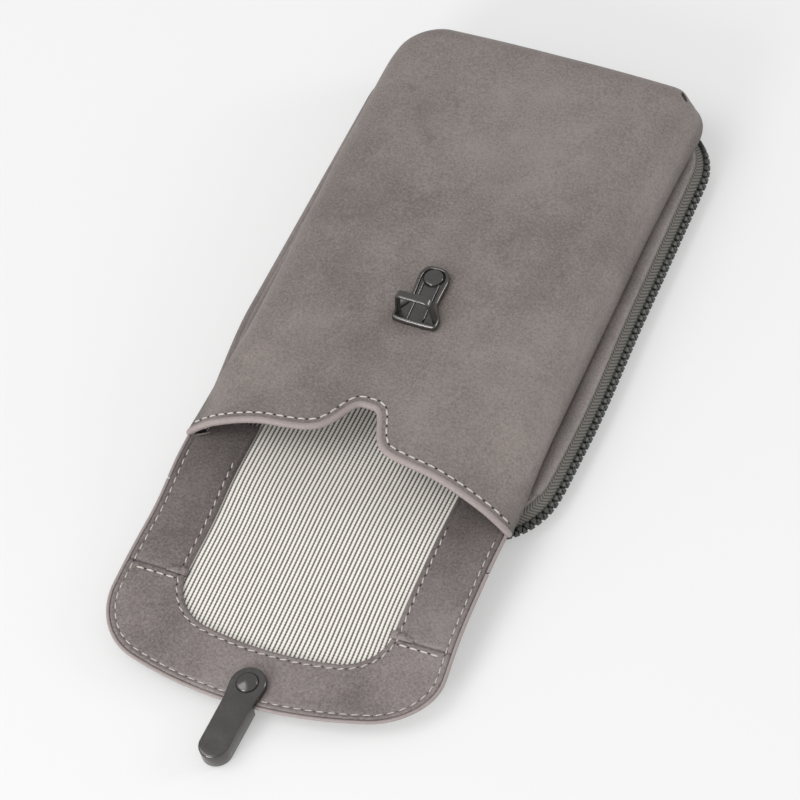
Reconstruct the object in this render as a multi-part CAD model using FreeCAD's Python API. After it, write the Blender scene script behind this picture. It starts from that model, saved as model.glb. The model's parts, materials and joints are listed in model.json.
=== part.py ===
import FreeCAD, Part
import math
import os

# Leather phone pouch, lying on its back with its flap open.
# Millimetres. X runs across the pouch, Y from the mouth to the closed end, Z up from the face it rests on.
# The origin is the centre of the back panel's outer face.

Vector = FreeCAD.Vector

# Sheet goods
leather = 1.4
lining = 0.6
facing = 1.0
layer_gap = 0.1

# Extra length of every cutting solid
cut_overrun = 30.0

# Phone pocket at the front
pocket_half_width = 47.7
pocket_length = 149.2
pocket_side_height = 11.9
pocket_crown_rise = 1.8
pocket_corner_radius = 13.0
pocket_shoulder_radius = 8.0
seam_tuck = 1.6
seam_tuck_height = 4.0
seam_ledge = 0.8
end_tuck = 7.0

# Mouth edge of the front panel, with a thumb notch in the middle
mouth_rise = 7.2
notch_half_width = 11.0
notch_depth = 10.8
mouth_arch_shares = (0.60, 0.66)
notch_foot_shares = ((0.76, 0.10), (0.62, 0.30))
notch_top_share = 0.40
notch_top_height_share = 0.76
mouth_facing_width = 12.0

# Zip compartment at the back
compartment_height = 4.6
rim_inset = 4.5
zip_setback = 1.0
gusset_bulge_inset = 1.2

# Welts along the zip's seams
welt_width = 1.4
welt_floor_gap = 0.15

# Zip
zip_end = 33.0
tooth_pitch = 2.2
tooth_thickness = 0.9
tooth_depth = 2.5
tooth_half_height = 1.3
tooth_mesh_drop = 0.6
tape_thickness = 0.7
stop_length = 1.5

# Zip slider and pull
slider_length = 9.0
slider_park = 3.5
slider_plate = 1.0
slider_half_height = 2.7
slider_flange = 1.0
slider_hook = 1.0
slider_clearance = 0.3
crown_length = 5.0
crown_half_width = 0.9
crown_height = 2.0
crown_bar = 0.8
crown_leg = 1.1
pull_pin_radius = 0.45
pull_arm_gap = 0.35
pull_arm_width = 0.8
pull_arm_length = 5.0
pull_tab_length = 15.0
pull_thickness = 0.9

# Flap, measured along the leather from its first fold
fold_overhang = 6.0
flap_side_inset = 0.7
flap_length = 62.2
flap_corner_radius = 19.0
flap_end_radius = 120.0
bend_length = 13.2
window_half_width = 29.7
window_border = 17.0
window_corner_radius = 14.0
window_end_radius = 100.0
cross_seam_border = 30.8
facing_root = 15.0
fabric_inset = 2.0
floor_gap = 0.25

# Tongue on the flap's end
tongue_width = 9.0
tongue_plate = 2.0
tongue_lap = 10.0
tongue_reach = 16.1
tongue_edge_gap = 0.3
tongue_bevel = 0.5

# Rivets
rivet_head_radius = 2.9
rivet_head_rim = 0.5
rivet_head_dome = 0.7
rivet_post_radius = 1.3
rivet_fit_gap = 0.05
rivet_cap_radius = 3.3
rivet_cap_thickness = 0.6

# Keeper on the front panel
keeper_from_mouth = 62.0
keeper_head_radius = 4.5
keeper_plate = 1.6
keeper_front = 15.9
keeper_neck_half_width = 3.9
keeper_neck_length = 8.2
keeper_base_half_width = 6.6
keeper_base_length = 4.2
keeper_corner_radius = 1.2
rail_half_gap = 1.7
rail_width = 0.9
rail_height = 0.8
loop_setback = 1.75
loop_depth = 2.5
loop_height = 8.0
loop_bar = 1.0
loop_post = 0.75
loop_base_half_width = 5.75
loop_top_half_width = 4.9

# Heights of the layers, from the floor up
back_lining_z = leather + layer_gap
compartment_z = back_lining_z + lining
compartment_lining_z = compartment_z + compartment_height
divider_z = compartment_lining_z + lining + layer_gap
divider_lining_z = divider_z + leather + layer_gap
facing_z = divider_lining_z + lining + layer_gap
fold_z = facing_z + facing
seam_z = divider_z + leather + layer_gap
flap_thickness = fold_z - divider_z
zip_z = (leather + divider_z) / 2

# Plan of the compartment: the outer line of the zip's teeth
ring_half_width = pocket_half_width + seam_ledge + rim_inset
ring_half_length = (pocket_length - seam_tuck - end_tuck - zip_setback + rim_inset) / 2
ring_corner_radius = pocket_corner_radius + rim_inset
ring_straight_x = ring_half_width - ring_corner_radius
ring_straight_y = ring_half_length - ring_corner_radius

# Places along the pouch
mouth_y = -zip_setback - ring_half_length
pocket_end_y = mouth_y + pocket_length
fold_y = mouth_y - fold_overhang
keeper_y = mouth_y + keeper_from_mouth
flap_half_width = pocket_half_width - flap_side_inset
window_tip = flap_length - window_border
cross_seam = flap_length - cross_seam_border

# The open flap slopes until the tongue's end almost meets the floor
flap_slope = math.asin((divider_z - floor_gap) / (flap_length + tongue_reach))
fold_start = flap_thickness * math.sin(flap_slope) + layer_gap


def solid_block(x_range, y_range, z_range):
    """Box between the two ends of each range."""
    size = [high - low for low, high in (x_range, y_range, z_range)]
    return Part.makeBox(*size, Vector(x_range[0], y_range[0], z_range[0]))


def polygon_face(points):
    """Flat face inside a closed polygon of points."""
    return Part.Face(Part.makePolygon(points + points[:1]))


def edge_face(edges):
    """Flat face inside a closed run of edges."""
    return Part.Face(Part.Wire(Part.__sortEdges__(edges)))


def line(start, end):
    """Straight edge between two points."""
    return Part.LineSegment(start, end).toShape()


def arc(start, middle, end):
    """Round edge through three points."""
    return Part.Arc(start, middle, end).toShape()


def post_hole(x, y, z_range, radius):
    """Upright round cutter for a rivet's post."""
    return Part.makeCylinder(radius, z_range[1] - z_range[0], Vector(x, y, z_range[0]))


def joined(pieces):
    """One solid from pieces that touch."""
    return pieces[0].multiFuse(pieces[1:]).removeSplitter()


nodes = {}


# Phone pocket: a domed cap with a tucked-in seam, taken at different insets for its layers

def pocket_outline(inset, z, end_inset=0):
    """Plan of the pocket, square at the mouth and rounded at the closed end."""
    half = pocket_half_width - inset
    start = mouth_y - cut_overrun
    end = pocket_end_y - inset - end_inset
    radius = pocket_corner_radius - inset
    turn_x = half - radius
    turn_y = end - radius
    diagonal_share = math.sqrt(0.5)
    diagonal_x = turn_x + radius * diagonal_share
    diagonal_y = turn_y + radius * diagonal_share
    edges = [line(Vector(-half, start, z), Vector(half, start, z)),
             line(Vector(half, start, z), Vector(half, turn_y, z)),
             arc(Vector(half, turn_y, z), Vector(diagonal_x, diagonal_y, z), Vector(turn_x, end, z)),
             line(Vector(turn_x, end, z), Vector(-turn_x, end, z)),
             arc(Vector(-turn_x, end, z), Vector(-diagonal_x, diagonal_y, z), Vector(-half, turn_y, z)),
             line(Vector(-half, turn_y, z), Vector(-half, start, z))]
    return Part.Wire(edges)


def pocket_cap(inset):
    """Solid under the pocket's surface at an inset: tucked foot, upright sides, round shoulder, crown."""
    side_z = seam_z + seam_tuck_height
    crown_radius = (pocket_half_width ** 2 + pocket_crown_rise ** 2) / (2 * pocket_crown_rise)
    top_z = seam_z + pocket_side_height + pocket_crown_rise - inset
    reach = pocket_half_width + leather
    reach_z = top_z - (crown_radius - inset) + math.sqrt((crown_radius - inset) ** 2 - reach ** 2)
    start = mouth_y - cut_overrun
    side_outline = pocket_outline(inset, side_z)
    foot = Part.makeLoft([pocket_outline(inset + seam_tuck, seam_z, end_tuck), side_outline], True, True)
    column = Part.Face(side_outline).extrude(Vector(0, 0, top_z))
    left, right = Vector(-reach, start, reach_z), Vector(reach, start, reach_z)
    left_foot, right_foot = Vector(-reach, start, 0), Vector(reach, start, 0)
    crown = edge_face([arc(left, Vector(0, start, top_z), right), line(right, right_foot),
                       line(right_foot, left_foot), line(left_foot, left)])
    column = column.common(crown.extrude(Vector(0, pocket_length + 2 * cut_overrun, 0)))
    column = column.Solids[0]
    rim = [edge for edge in column.Edges
           if edge.BoundBox.ZMin > side_z + layer_gap and edge.BoundBox.YMax > start + layer_gap]
    column = column.makeFillet(pocket_shoulder_radius - inset, rim)
    return foot.fuse(column)


def pocket_hollow(inset):
    """The cap at an inset, carried on down past the seam so that it cuts the pocket's underside open."""
    well_outline = pocket_outline(inset + seam_tuck, seam_z, end_tuck)
    well = Part.Face(well_outline).extrude(Vector(0, 0, -cut_overrun))
    return pocket_cap(inset).fuse(well)


def mouth_cutter(shift):
    """Everything in front of the mouth edge, moved along the pouch by a shift."""
    y = mouth_y + shift
    low = seam_z - cut_overrun
    front = y - 3 * cut_overrun
    side = pocket_half_width + cut_overrun
    shoulder_y = y + mouth_rise
    arch = Vector(-pocket_half_width * mouth_arch_shares[0], y + mouth_rise * mouth_arch_shares[1], low)
    foot_mid, foot_end = [Vector(-notch_half_width * across, shoulder_y + notch_depth * up, low)
                          for across, up in notch_foot_shares]
    top_side = Vector(-notch_half_width * notch_top_share,
                      shoulder_y + notch_depth * notch_top_height_share, low)
    corner = Vector(-pocket_half_width, y, low)
    shoulder = Vector(-notch_half_width, shoulder_y, low)

    def mirrored(point):
        return Vector(-point.x, point.y, point.z)

    edges = [arc(corner, arch, shoulder), arc(shoulder, foot_mid, foot_end), line(foot_end, top_side)]
    edges += [arc(mirrored(corner), mirrored(arch), mirrored(shoulder)),
              arc(mirrored(shoulder), mirrored(foot_mid), mirrored(foot_end)),
              line(mirrored(foot_end), mirrored(top_side))]
    edges.append(arc(top_side, Vector(0, shoulder_y + notch_depth, low), mirrored(top_side)))
    outer = [corner, Vector(-side, y, low), Vector(-side, front, low),
             Vector(side, front, low), Vector(side, y, low), mirrored(corner)]
    edges += [line(a, b) for a, b in zip(outer, outer[1:])]
    return edge_face(edges).extrude(Vector(0, 0, pocket_side_height + 3 * cut_overrun))


crown_z = seam_z + pocket_side_height + pocket_crown_rise
keeper_hole = post_hole(0, keeper_y, (divider_z, crown_z + cut_overrun), rivet_post_radius + rivet_fit_gap)
lining_inset = leather + layer_gap

front_shell = pocket_cap(0).cut(pocket_hollow(leather))
nodes["front_panel"] = front_shell.cut(mouth_cutter(0)).cut(keeper_hole)

lining_shell = pocket_cap(lining_inset).cut(pocket_hollow(lining_inset + lining))
nodes["front_lining"] = lining_shell.cut(mouth_cutter(mouth_facing_width + layer_gap)).cut(keeper_hole)

facing_shell = pocket_cap(lining_inset).cut(pocket_hollow(lining_inset + facing))
nodes["mouth_facing"] = facing_shell.cut(mouth_cutter(0)).common(mouth_cutter(mouth_facing_width))


# Compartment walls: profiles carried round a rounded rectangle.
# A profile point is (distance out from the line of the teeth, height).

def ring_band(profile):
    """Closed band made by carrying a profile along four straight sides and round four corners."""
    pieces = []
    corners = [(1, 1), (-1, 1), (-1, -1), (1, -1)]
    for quarter, (side_x, side_y) in enumerate(corners):
        lengthwise = quarter % 2 == 0
        out = ring_straight_x if lengthwise else ring_straight_y
        half_run = ring_straight_y if lengthwise else ring_straight_x
        section = polygon_face([Vector(out + ring_corner_radius + n, -half_run, z) for n, z in profile])
        run = section.extrude(Vector(0, 2 * half_run, 0))
        run.rotate(Vector(0, 0, 0), Vector(0, 0, 1), 90 * quarter)
        section = polygon_face([Vector(ring_corner_radius + n, 0, z) for n, z in profile])
        turn = section.revolve(Vector(0, 0, 0), Vector(0, 0, 1), 90)
        turn.rotate(Vector(0, 0, 0), Vector(0, 0, 1), 90 * quarter)
        turn.translate(Vector(side_x * ring_straight_x, side_y * ring_straight_y, 0))
        pieces += [run, turn]
    return joined(pieces)


def ring_plate(inset, z_low, z_high):
    """Flat plate with the ring's plan at an inset."""
    half_x = ring_half_width - inset
    half_y = ring_half_length - inset
    plate = solid_block((-half_x, half_x), (-half_y, half_y), (z_low, z_high))
    uprights = [edge for edge in plate.Edges if edge.BoundBox.ZLength > (z_high - z_low) / 2]
    return plate.makeFillet(ring_corner_radius - inset, uprights)


def beyond_zip_end(offset):
    """Half space on the zip's side of its ends."""
    reach = ring_half_width + cut_overrun
    length = ring_half_length + cut_overrun
    return solid_block((-zip_end + offset, reach), (-length, length), (0, seam_z + cut_overrun))


lining_rim = rim_inset + leather + 2 * layer_gap
nodes["back_panel"] = ring_plate(rim_inset, 0, leather)
nodes["back_lining"] = ring_plate(lining_rim, back_lining_z, compartment_z)
nodes["compartment_lining"] = ring_plate(lining_rim, compartment_lining_z, divider_z - layer_gap)

wall_low = back_lining_z
wall_high = divider_z - layer_gap
foot_n = -rim_inset - layer_gap
gusset_half = tooth_half_height - layer_gap
gusset = ring_band([(foot_n, wall_low), (-gusset_bulge_inset, zip_z - gusset_half),
                    (-gusset_bulge_inset, zip_z + gusset_half), (foot_n, wall_high),
                    (foot_n - leather, wall_high), (-gusset_bulge_inset - leather, zip_z + gusset_half),
                    (-gusset_bulge_inset - leather, zip_z - gusset_half), (foot_n - leather, wall_low)])
nodes["spine_gusset"] = gusset.cut(beyond_zip_end(-layer_gap))

tape_near = (-tooth_depth + tape_thickness) / 2
tape_far = (-tooth_depth - tape_thickness) / 2
tape_rise = tooth_half_height + layer_gap
for name, edge_z, seam_edge_z in (("upper", zip_z + tape_rise, wall_high),
                                  ("lower", zip_z - tape_rise, wall_low)):
    tape = ring_band([(tape_near, edge_z), (tape_far, edge_z),
                      (foot_n - tape_thickness, seam_edge_z), (foot_n, seam_edge_z)])
    nodes["zip_tape_" + name] = tape.common(beyond_zip_end(0))

welt_n = -rim_inset + layer_gap
upper_welt = ring_band([(welt_n, divider_z), (welt_n + welt_width, divider_z),
                        (welt_n + welt_width, divider_z + leather), (welt_n, divider_z + leather)])
welt_keep = ring_half_width + cut_overrun
nodes["upper_welt"] = upper_welt.common(solid_block((-welt_keep, welt_keep),
                                                    (-ring_straight_y, ring_half_length + cut_overrun),
                                                    (0, seam_z)))
nodes["lower_welt"] = ring_band([(welt_n, welt_floor_gap), (welt_n + welt_width, welt_floor_gap),
                                 (welt_n + welt_width, welt_floor_gap + leather),
                                 (welt_n, welt_floor_gap + leather)])


# Divider: the pocket's back wall, which leaves the mouth as the flap's root

def flap_root(half_width, z_low, z_high):
    """Strip that runs from inside the mouth out to the first fold."""
    return solid_block((-half_width, half_width), (fold_y, mouth_y + facing_root), (z_low, z_high))


fabric_half_width = pocket_half_width - seam_tuck - leather - facing - 2 * layer_gap
nodes["divider"] = joined([ring_plate(rim_inset, divider_z, divider_z + leather),
                           flap_root(flap_half_width, divider_z, divider_z + leather)])
fabric_end = pocket_end_y - seam_tuck - end_tuck - leather - facing - pocket_corner_radius
nodes["divider_lining"] = solid_block((-fabric_half_width, fabric_half_width), (fold_y, fabric_end),
                                      (divider_lining_z, divider_lining_z + lining))
for name, side in (("left", -1), ("right", 1)):
    inside = sorted((side * window_half_width, side * fabric_half_width))
    outside = sorted((side * window_half_width, side * flap_half_width))
    strip = solid_block(inside, (fold_y, mouth_y + facing_root), (facing_z, fold_z))
    root = solid_block(outside, (fold_y, mouth_y - layer_gap), (facing_z, fold_z))
    nodes["pocket_facing_" + name] = joined([strip, root])


# Zip teeth: interleaved blocks along a U from the mouth end, up the side and along the closed end

teeth_start = zip_end - stop_length - layer_gap
teeth_radius = ring_corner_radius - tooth_depth / 2
end_run = teeth_start + ring_straight_x
corner_run = teeth_radius * math.pi / 2
side_run = 2 * ring_straight_y


def zip_station(distance):
    """Middle of the teeth and their outward heading, at a distance along the zip."""
    if distance < end_run:
        return Vector(distance - teeth_start, -ring_straight_y - teeth_radius, 0), -90
    distance -= end_run
    if distance < corner_run:
        turn = distance / teeth_radius
        return Vector(ring_straight_x + teeth_radius * math.sin(turn),
                      -ring_straight_y - teeth_radius * math.cos(turn), 0), math.degrees(turn) - 90
    distance -= corner_run
    if distance < side_run:
        return Vector(ring_straight_x + teeth_radius, distance - ring_straight_y, 0), 0
    distance -= side_run
    if distance < corner_run:
        turn = distance / teeth_radius
        return Vector(ring_straight_x + teeth_radius * math.cos(turn),
                      ring_straight_y + teeth_radius * math.sin(turn), 0), math.degrees(turn)
    distance -= corner_run
    return Vector(ring_straight_x - distance, ring_straight_y + teeth_radius, 0), 90


def teeth_row(offset, z_low, z_high):
    """One row of separate teeth, each turned to face out of the pouch."""
    zip_length = 2 * end_run + 2 * corner_run + side_run
    count = int((zip_length - tooth_pitch - offset) / tooth_pitch)
    depth = tooth_depth / 2
    half = tooth_thickness / 2
    row = []
    for index in range(count):
        place, heading = zip_station(offset + index * tooth_pitch + half)
        tooth = solid_block((-depth, depth), (-half, half), (z_low, z_high))
        tooth.rotate(Vector(0, 0, 0), Vector(0, 0, 1), heading)
        tooth.translate(place)
        row.append(tooth)
    return Part.makeCompound(row)


mesh_reach = tooth_half_height - tooth_mesh_drop
nodes["zip_teeth_upper"] = teeth_row(0, zip_z - mesh_reach, zip_z + tooth_half_height)
nodes["zip_teeth_lower"] = teeth_row(tooth_pitch / 2, zip_z - tooth_half_height, zip_z + mesh_reach)

stop_y = ring_half_length - tooth_depth
stop_x = (-zip_end, -zip_end + stop_length)
stop_z = (zip_z - tooth_half_height, zip_z + tooth_half_height)
stops = [solid_block(stop_x, span, stop_z)
         for span in ((stop_y, ring_half_length), (-ring_half_length, -stop_y))]
nodes["zip_stops"] = Part.makeCompound(stops)


# Slider at the closed end of the zip, hooked over both rows of teeth; its crown traps the pull's pin

slider_x = -zip_end + slider_park
slider_span = (slider_x, slider_x + slider_length)
plate_y = ring_half_length + slider_clearance
hook_y = plate_y - slider_hook
plate_out_y = plate_y + slider_plate
hook_z = slider_half_height - slider_flange
slider_plate_block = solid_block(slider_span, (plate_y, plate_out_y),
                                 (zip_z - slider_half_height, zip_z + slider_half_height))
corner_edges = [edge for edge in slider_plate_block.Edges if edge.BoundBox.YLength > slider_plate / 2]
slider_plate_block = slider_plate_block.makeFillet(slider_flange, corner_edges)
hook_span = (slider_span[0] + slider_flange, slider_span[1] - slider_flange)
hooks = [solid_block(hook_span, (hook_y, plate_y), (zip_z + hook_z, zip_z + slider_half_height)),
         solid_block(hook_span, (hook_y, plate_y), (zip_z - slider_half_height, zip_z - hook_z))]
nodes["slider_body"] = joined([slider_plate_block] + hooks)

crown_mid_x = slider_x + slider_length / 2
crown_x = (crown_mid_x - crown_length / 2, crown_mid_x + crown_length / 2)
crown_z_span = (zip_z - crown_half_width, zip_z + crown_half_width)
crown_block = solid_block(crown_x, (plate_out_y, plate_out_y + crown_height), crown_z_span)
crown_eye = solid_block((crown_x[0] + crown_leg, crown_x[1] - crown_leg),
                        (plate_out_y, plate_out_y + crown_height - crown_bar),
                        (zip_z - cut_overrun, zip_z + cut_overrun))
nodes["slider_crown"] = crown_block.cut(crown_eye)

pin_y = plate_out_y + (crown_height - crown_bar) / 2
arm_low = crown_half_width + pull_arm_gap
arm_high = arm_low + pull_arm_width
pin = Part.makeCylinder(pull_pin_radius, 2 * arm_high, Vector(crown_mid_x, pin_y, zip_z - arm_high))
pull_y = (pin_y - pull_thickness / 2, pin_y + pull_thickness / 2)
arm_x = (crown_mid_x, crown_mid_x + pull_arm_length)
arms = [solid_block(arm_x, pull_y, (zip_z + arm_low, zip_z + arm_high)),
        solid_block(arm_x, pull_y, (zip_z - arm_high, zip_z - arm_low))]
tab = solid_block((arm_x[1], arm_x[1] + pull_tab_length), pull_y, (zip_z - arm_high, zip_z + arm_high))
tab_ends = [edge for edge in tab.Edges
            if edge.BoundBox.YLength > pull_thickness / 2 and edge.BoundBox.XMin > arm_x[1] + layer_gap]
tab = tab.makeFillet(pull_arm_width, tab_ends)
nodes["zip_pull"] = joined([pin, tab] + arms)


# Flap: flat layers under its inner face, tilted about the first fold

def end_outline(half_width, start, tip, corner_radius, end_radius, z):
    """Straight-sided tongue shape whose end is a wide arc joined to the sides by round corners."""
    centre_run = tip - end_radius
    corner_x = half_width - corner_radius
    corner_run_out = centre_run + math.sqrt((end_radius - corner_radius) ** 2 - corner_x ** 2)
    lean = math.asin(corner_x / (end_radius - corner_radius))
    join = Vector(end_radius * math.sin(lean), -centre_run - end_radius * math.cos(lean), z)
    half_turn = (math.pi / 2 + lean) / 2
    middle = Vector(corner_x + corner_radius * math.sin(half_turn),
                    -corner_run_out - corner_radius * math.cos(half_turn), z)
    side_start = Vector(half_width, -start, z)
    side_end = Vector(half_width, -corner_run_out, z)

    def mirrored(point):
        return Vector(-point.x, point.y, point.z)

    edges = [line(mirrored(side_start), side_start), line(side_start, side_end),
             arc(side_end, middle, join), arc(join, Vector(0, -tip, z), mirrored(join)),
             arc(mirrored(join), mirrored(middle), mirrored(side_end)),
             line(mirrored(side_end), mirrored(side_start))]
    return edge_face(edges)


def flap_layer(half_width, start, tip, corner_radius, end_radius, z_low, z_high):
    """Flat layer of the flap between two depths under its inner face."""
    face = end_outline(half_width, start, tip, corner_radius, end_radius, z_low)
    return face.extrude(Vector(0, 0, z_high - z_low))


def bend_strip(x_range, z_low, z_high):
    """Flat strip between the two folds."""
    return solid_block(x_range, (-bend_length, -fold_start), (z_low, z_high))


def on_slope(shape):
    """A flap piece moved from its flat layout to the open pose."""
    placed = shape.copy()
    placed.rotate(Vector(0, 0, 0), Vector(1, 0, 0), math.degrees(flap_slope))
    placed.translate(Vector(0, fold_y, fold_z))
    return placed


outer_span = (divider_z - fold_z, divider_z + leather - fold_z)
fabric_span = (divider_lining_z - fold_z, divider_lining_z + lining - fold_z)
facing_span = (-facing, 0)
flap_start = bend_length + layer_gap
fabric_flap_half = flap_half_width - fabric_inset

flat = {}
flat["bend_outer"] = bend_strip((-flap_half_width, flap_half_width), *outer_span)
flat["bend_fabric"] = bend_strip((-fabric_flap_half, fabric_flap_half), *fabric_span)
flat["bend_facing_left"] = bend_strip((-flap_half_width, -window_half_width), *facing_span)
flat["bend_facing_right"] = bend_strip((window_half_width, flap_half_width), *facing_span)
flat["flap_outer"] = flap_layer(flap_half_width, flap_start, flap_length,
                                flap_corner_radius, flap_end_radius, *outer_span)
flat["flap_fabric"] = flap_layer(fabric_flap_half, flap_start, flap_length - fabric_inset,
                                 flap_corner_radius - fabric_inset, flap_end_radius - fabric_inset,
                                 *fabric_span)
border = flap_layer(flap_half_width, flap_start, flap_length,
                    flap_corner_radius, flap_end_radius, *facing_span)
window = flap_layer(window_half_width, flap_start - cut_overrun, window_tip,
                    window_corner_radius, window_end_radius, -cut_overrun, cut_overrun)
border = border.cut(window)
seam_reach = flap_half_width + cut_overrun
strip_run = (-cross_seam + layer_gap / 2, cut_overrun)
tip_run = (-flap_length - cut_overrun, -cross_seam - layer_gap / 2)
border_depth = (-cut_overrun, cut_overrun)
flat["flap_facing_left"] = border.common(solid_block((-seam_reach, 0), strip_run, border_depth))
flat["flap_facing_right"] = border.common(solid_block((0, seam_reach), strip_run, border_depth))
flat["flap_facing_tip"] = border.common(solid_block((-seam_reach, seam_reach), tip_run, border_depth))


# Tongue: a stadium bar, thin where it laps the flap and as deep as the flap beyond its edge

def stadium(start, end, z_low, z_high):
    """Upright bar with round ends, between two distances from the fold."""
    radius = tongue_width / 2
    near_y = -start - radius
    far_y = -end + radius
    near = [Vector(side * radius, near_y, z_low) for side in (-1, 1)]
    far = [Vector(side * radius, far_y, z_low) for side in (-1, 1)]
    edges = [line(near[0], far[0]), arc(far[0], Vector(0, -end, z_low), far[1]),
             line(far[1], near[1]), arc(near[1], Vector(0, -start, z_low), near[0])]
    return edge_face(edges).extrude(Vector(0, 0, z_high - z_low))


tongue_start = flap_length - tongue_lap
tongue_end = flap_length + tongue_reach
tongue_z = (layer_gap, layer_gap + tongue_plate)
tongue_bar = stadium(tongue_start, tongue_end, *tongue_z)
tongue_rim = [edge for edge in tongue_bar.Edges if edge.BoundBox.ZMin > tongue_z[1] - layer_gap]
tongue_bar = tongue_bar.makeChamfer(tongue_bevel, tongue_rim)
tongue_block = stadium(tongue_start, tongue_end, -flap_thickness, tongue_z[0])
tongue_block = tongue_block.common(solid_block((-tongue_width, tongue_width),
                                               (-tongue_end - cut_overrun, -flap_length - tongue_edge_gap),
                                               border_depth))
tongue_rivet_run = -tongue_start - tongue_width / 2
flap_hole = post_hole(0, tongue_rivet_run, border_depth, rivet_post_radius + rivet_fit_gap)
flat["tongue"] = joined([tongue_bar, tongue_block]).cut(flap_hole)
for name in ("flap_outer", "flap_fabric", "flap_facing_tip"):
    flat[name] = flat[name].cut(flap_hole)


def rivet(y, seat_z, foot_z):
    """Domed head on a seat, with a post down to a foot."""
    rim_z = seat_z + rivet_head_rim
    top_z = rim_z + rivet_head_dome
    dome_radius = (rivet_head_radius ** 2 + rivet_head_dome ** 2) / (2 * rivet_head_dome)
    half_angle = math.asin(rivet_head_radius / dome_radius) / 2
    shoulder = Vector(dome_radius * math.sin(half_angle), 0,
                      top_z - dome_radius * (1 - math.cos(half_angle)))
    profile = edge_face([line(Vector(0, 0, seat_z), Vector(rivet_head_radius, 0, seat_z)),
                         line(Vector(rivet_head_radius, 0, seat_z), Vector(rivet_head_radius, 0, rim_z)),
                         arc(Vector(rivet_head_radius, 0, rim_z), shoulder, Vector(0, 0, top_z)),
                         line(Vector(0, 0, top_z), Vector(0, 0, seat_z))])
    head = profile.revolve(Vector(0, 0, 0), Vector(0, 0, 1), 360)
    post = Part.makeCylinder(rivet_post_radius, seat_z - foot_z, Vector(0, 0, foot_z))
    whole = joined([head, post])
    whole.translate(Vector(0, y, 0))
    return whole


def rivet_washer(y, top_z):
    """Flat ring that a rivet's post is set into."""
    low_z = top_z - rivet_cap_thickness
    ring = Part.makeCylinder(rivet_cap_radius, rivet_cap_thickness, Vector(0, y, low_z))
    return ring.cut(post_hole(0, y, (low_z, top_z), rivet_post_radius + rivet_fit_gap))


cap_z = -flap_thickness - layer_gap
flat["tongue_rivet"] = rivet(tongue_rivet_run, tongue_z[1] + layer_gap, cap_z - rivet_cap_thickness)
flat["tongue_rivet_cap"] = rivet_washer(tongue_rivet_run, cap_z)
for name, shape in flat.items():
    nodes[name] = on_slope(shape)


# Keeper: a cast plate with a round riveted end, two rails, and a loop that the tongue passes through

plate_z = crown_z + layer_gap
rail_z = plate_z + keeper_plate
front_y = keeper_y - keeper_front
base_y = front_y + keeper_base_length
neck_y = keeper_y - keeper_neck_length
flank = [Vector(-keeper_head_radius, keeper_y, plate_z), Vector(-keeper_neck_half_width, neck_y, plate_z),
         Vector(-keeper_base_half_width, base_y, plate_z),
         Vector(-keeper_base_half_width, front_y, plate_z)]
other_flank = [Vector(-point.x, point.y, point.z) for point in flank]
run = flank + other_flank[::-1]
plate_edges = [line(a, b) for a, b in zip(run, run[1:])]
plate_edges.append(arc(flank[0], Vector(0, keeper_y + keeper_head_radius, plate_z), other_flank[0]))
plate = edge_face(plate_edges).extrude(Vector(0, 0, keeper_plate))
front_corners = [edge for edge in plate.Edges
                 if edge.BoundBox.ZLength > keeper_plate / 2 and edge.BoundBox.YMax < front_y + layer_gap]
plate = plate.makeFillet(keeper_corner_radius, front_corners)

rail_y = (front_y, keeper_y - rivet_head_radius - rail_width)
rails = [solid_block(sorted((side * rail_half_gap, side * (rail_half_gap + rail_width))), rail_y,
                     (rail_z, rail_z + rail_height)) for side in (-1, 1)]

loop_y = front_y + loop_setback
loop_top_z = rail_z + loop_height


def loop_section(inset_base, inset_top, top_drop):
    """Upright trapezium across the keeper, narrower at its top."""
    base = loop_base_half_width - inset_base
    top = loop_top_half_width - inset_top
    corners = [Vector(-base, loop_y, rail_z), Vector(-top, loop_y, loop_top_z - top_drop),
               Vector(top, loop_y, loop_top_z - top_drop), Vector(base, loop_y, rail_z)]
    return polygon_face(corners).extrude(Vector(0, loop_depth, 0))


loop = loop_section(0, 0, 0)
loop_corners = [edge for edge in loop.Edges
                if edge.BoundBox.YLength > loop_depth / 2 and edge.BoundBox.ZMin > loop_top_z - layer_gap]
loop = loop.makeFillet(keeper_corner_radius, loop_corners)
loop = loop.cut(loop_section(loop_post, loop_post, loop_bar))
nodes["keeper"] = joined([plate, loop] + rails).cut(keeper_hole)

washer_z = crown_z - lining_inset - lining - layer_gap
nodes["keeper_rivet"] = rivet(keeper_y, rail_z + layer_gap, washer_z - rivet_cap_thickness)
nodes["keeper_washer"] = rivet_washer(keeper_y, washer_z)

os.makedirs("parts", exist_ok=True)
for name, shape in nodes.items():
    shape.exportStep("parts/" + name + ".step")
    print(name, len(shape.Solids), "solids,", round(shape.Volume, 2), "mm3, valid:", shape.isValid())
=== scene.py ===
import json
import math

import bmesh
import bpy
import numpy as np
from mathutils import Matrix, Vector


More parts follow.
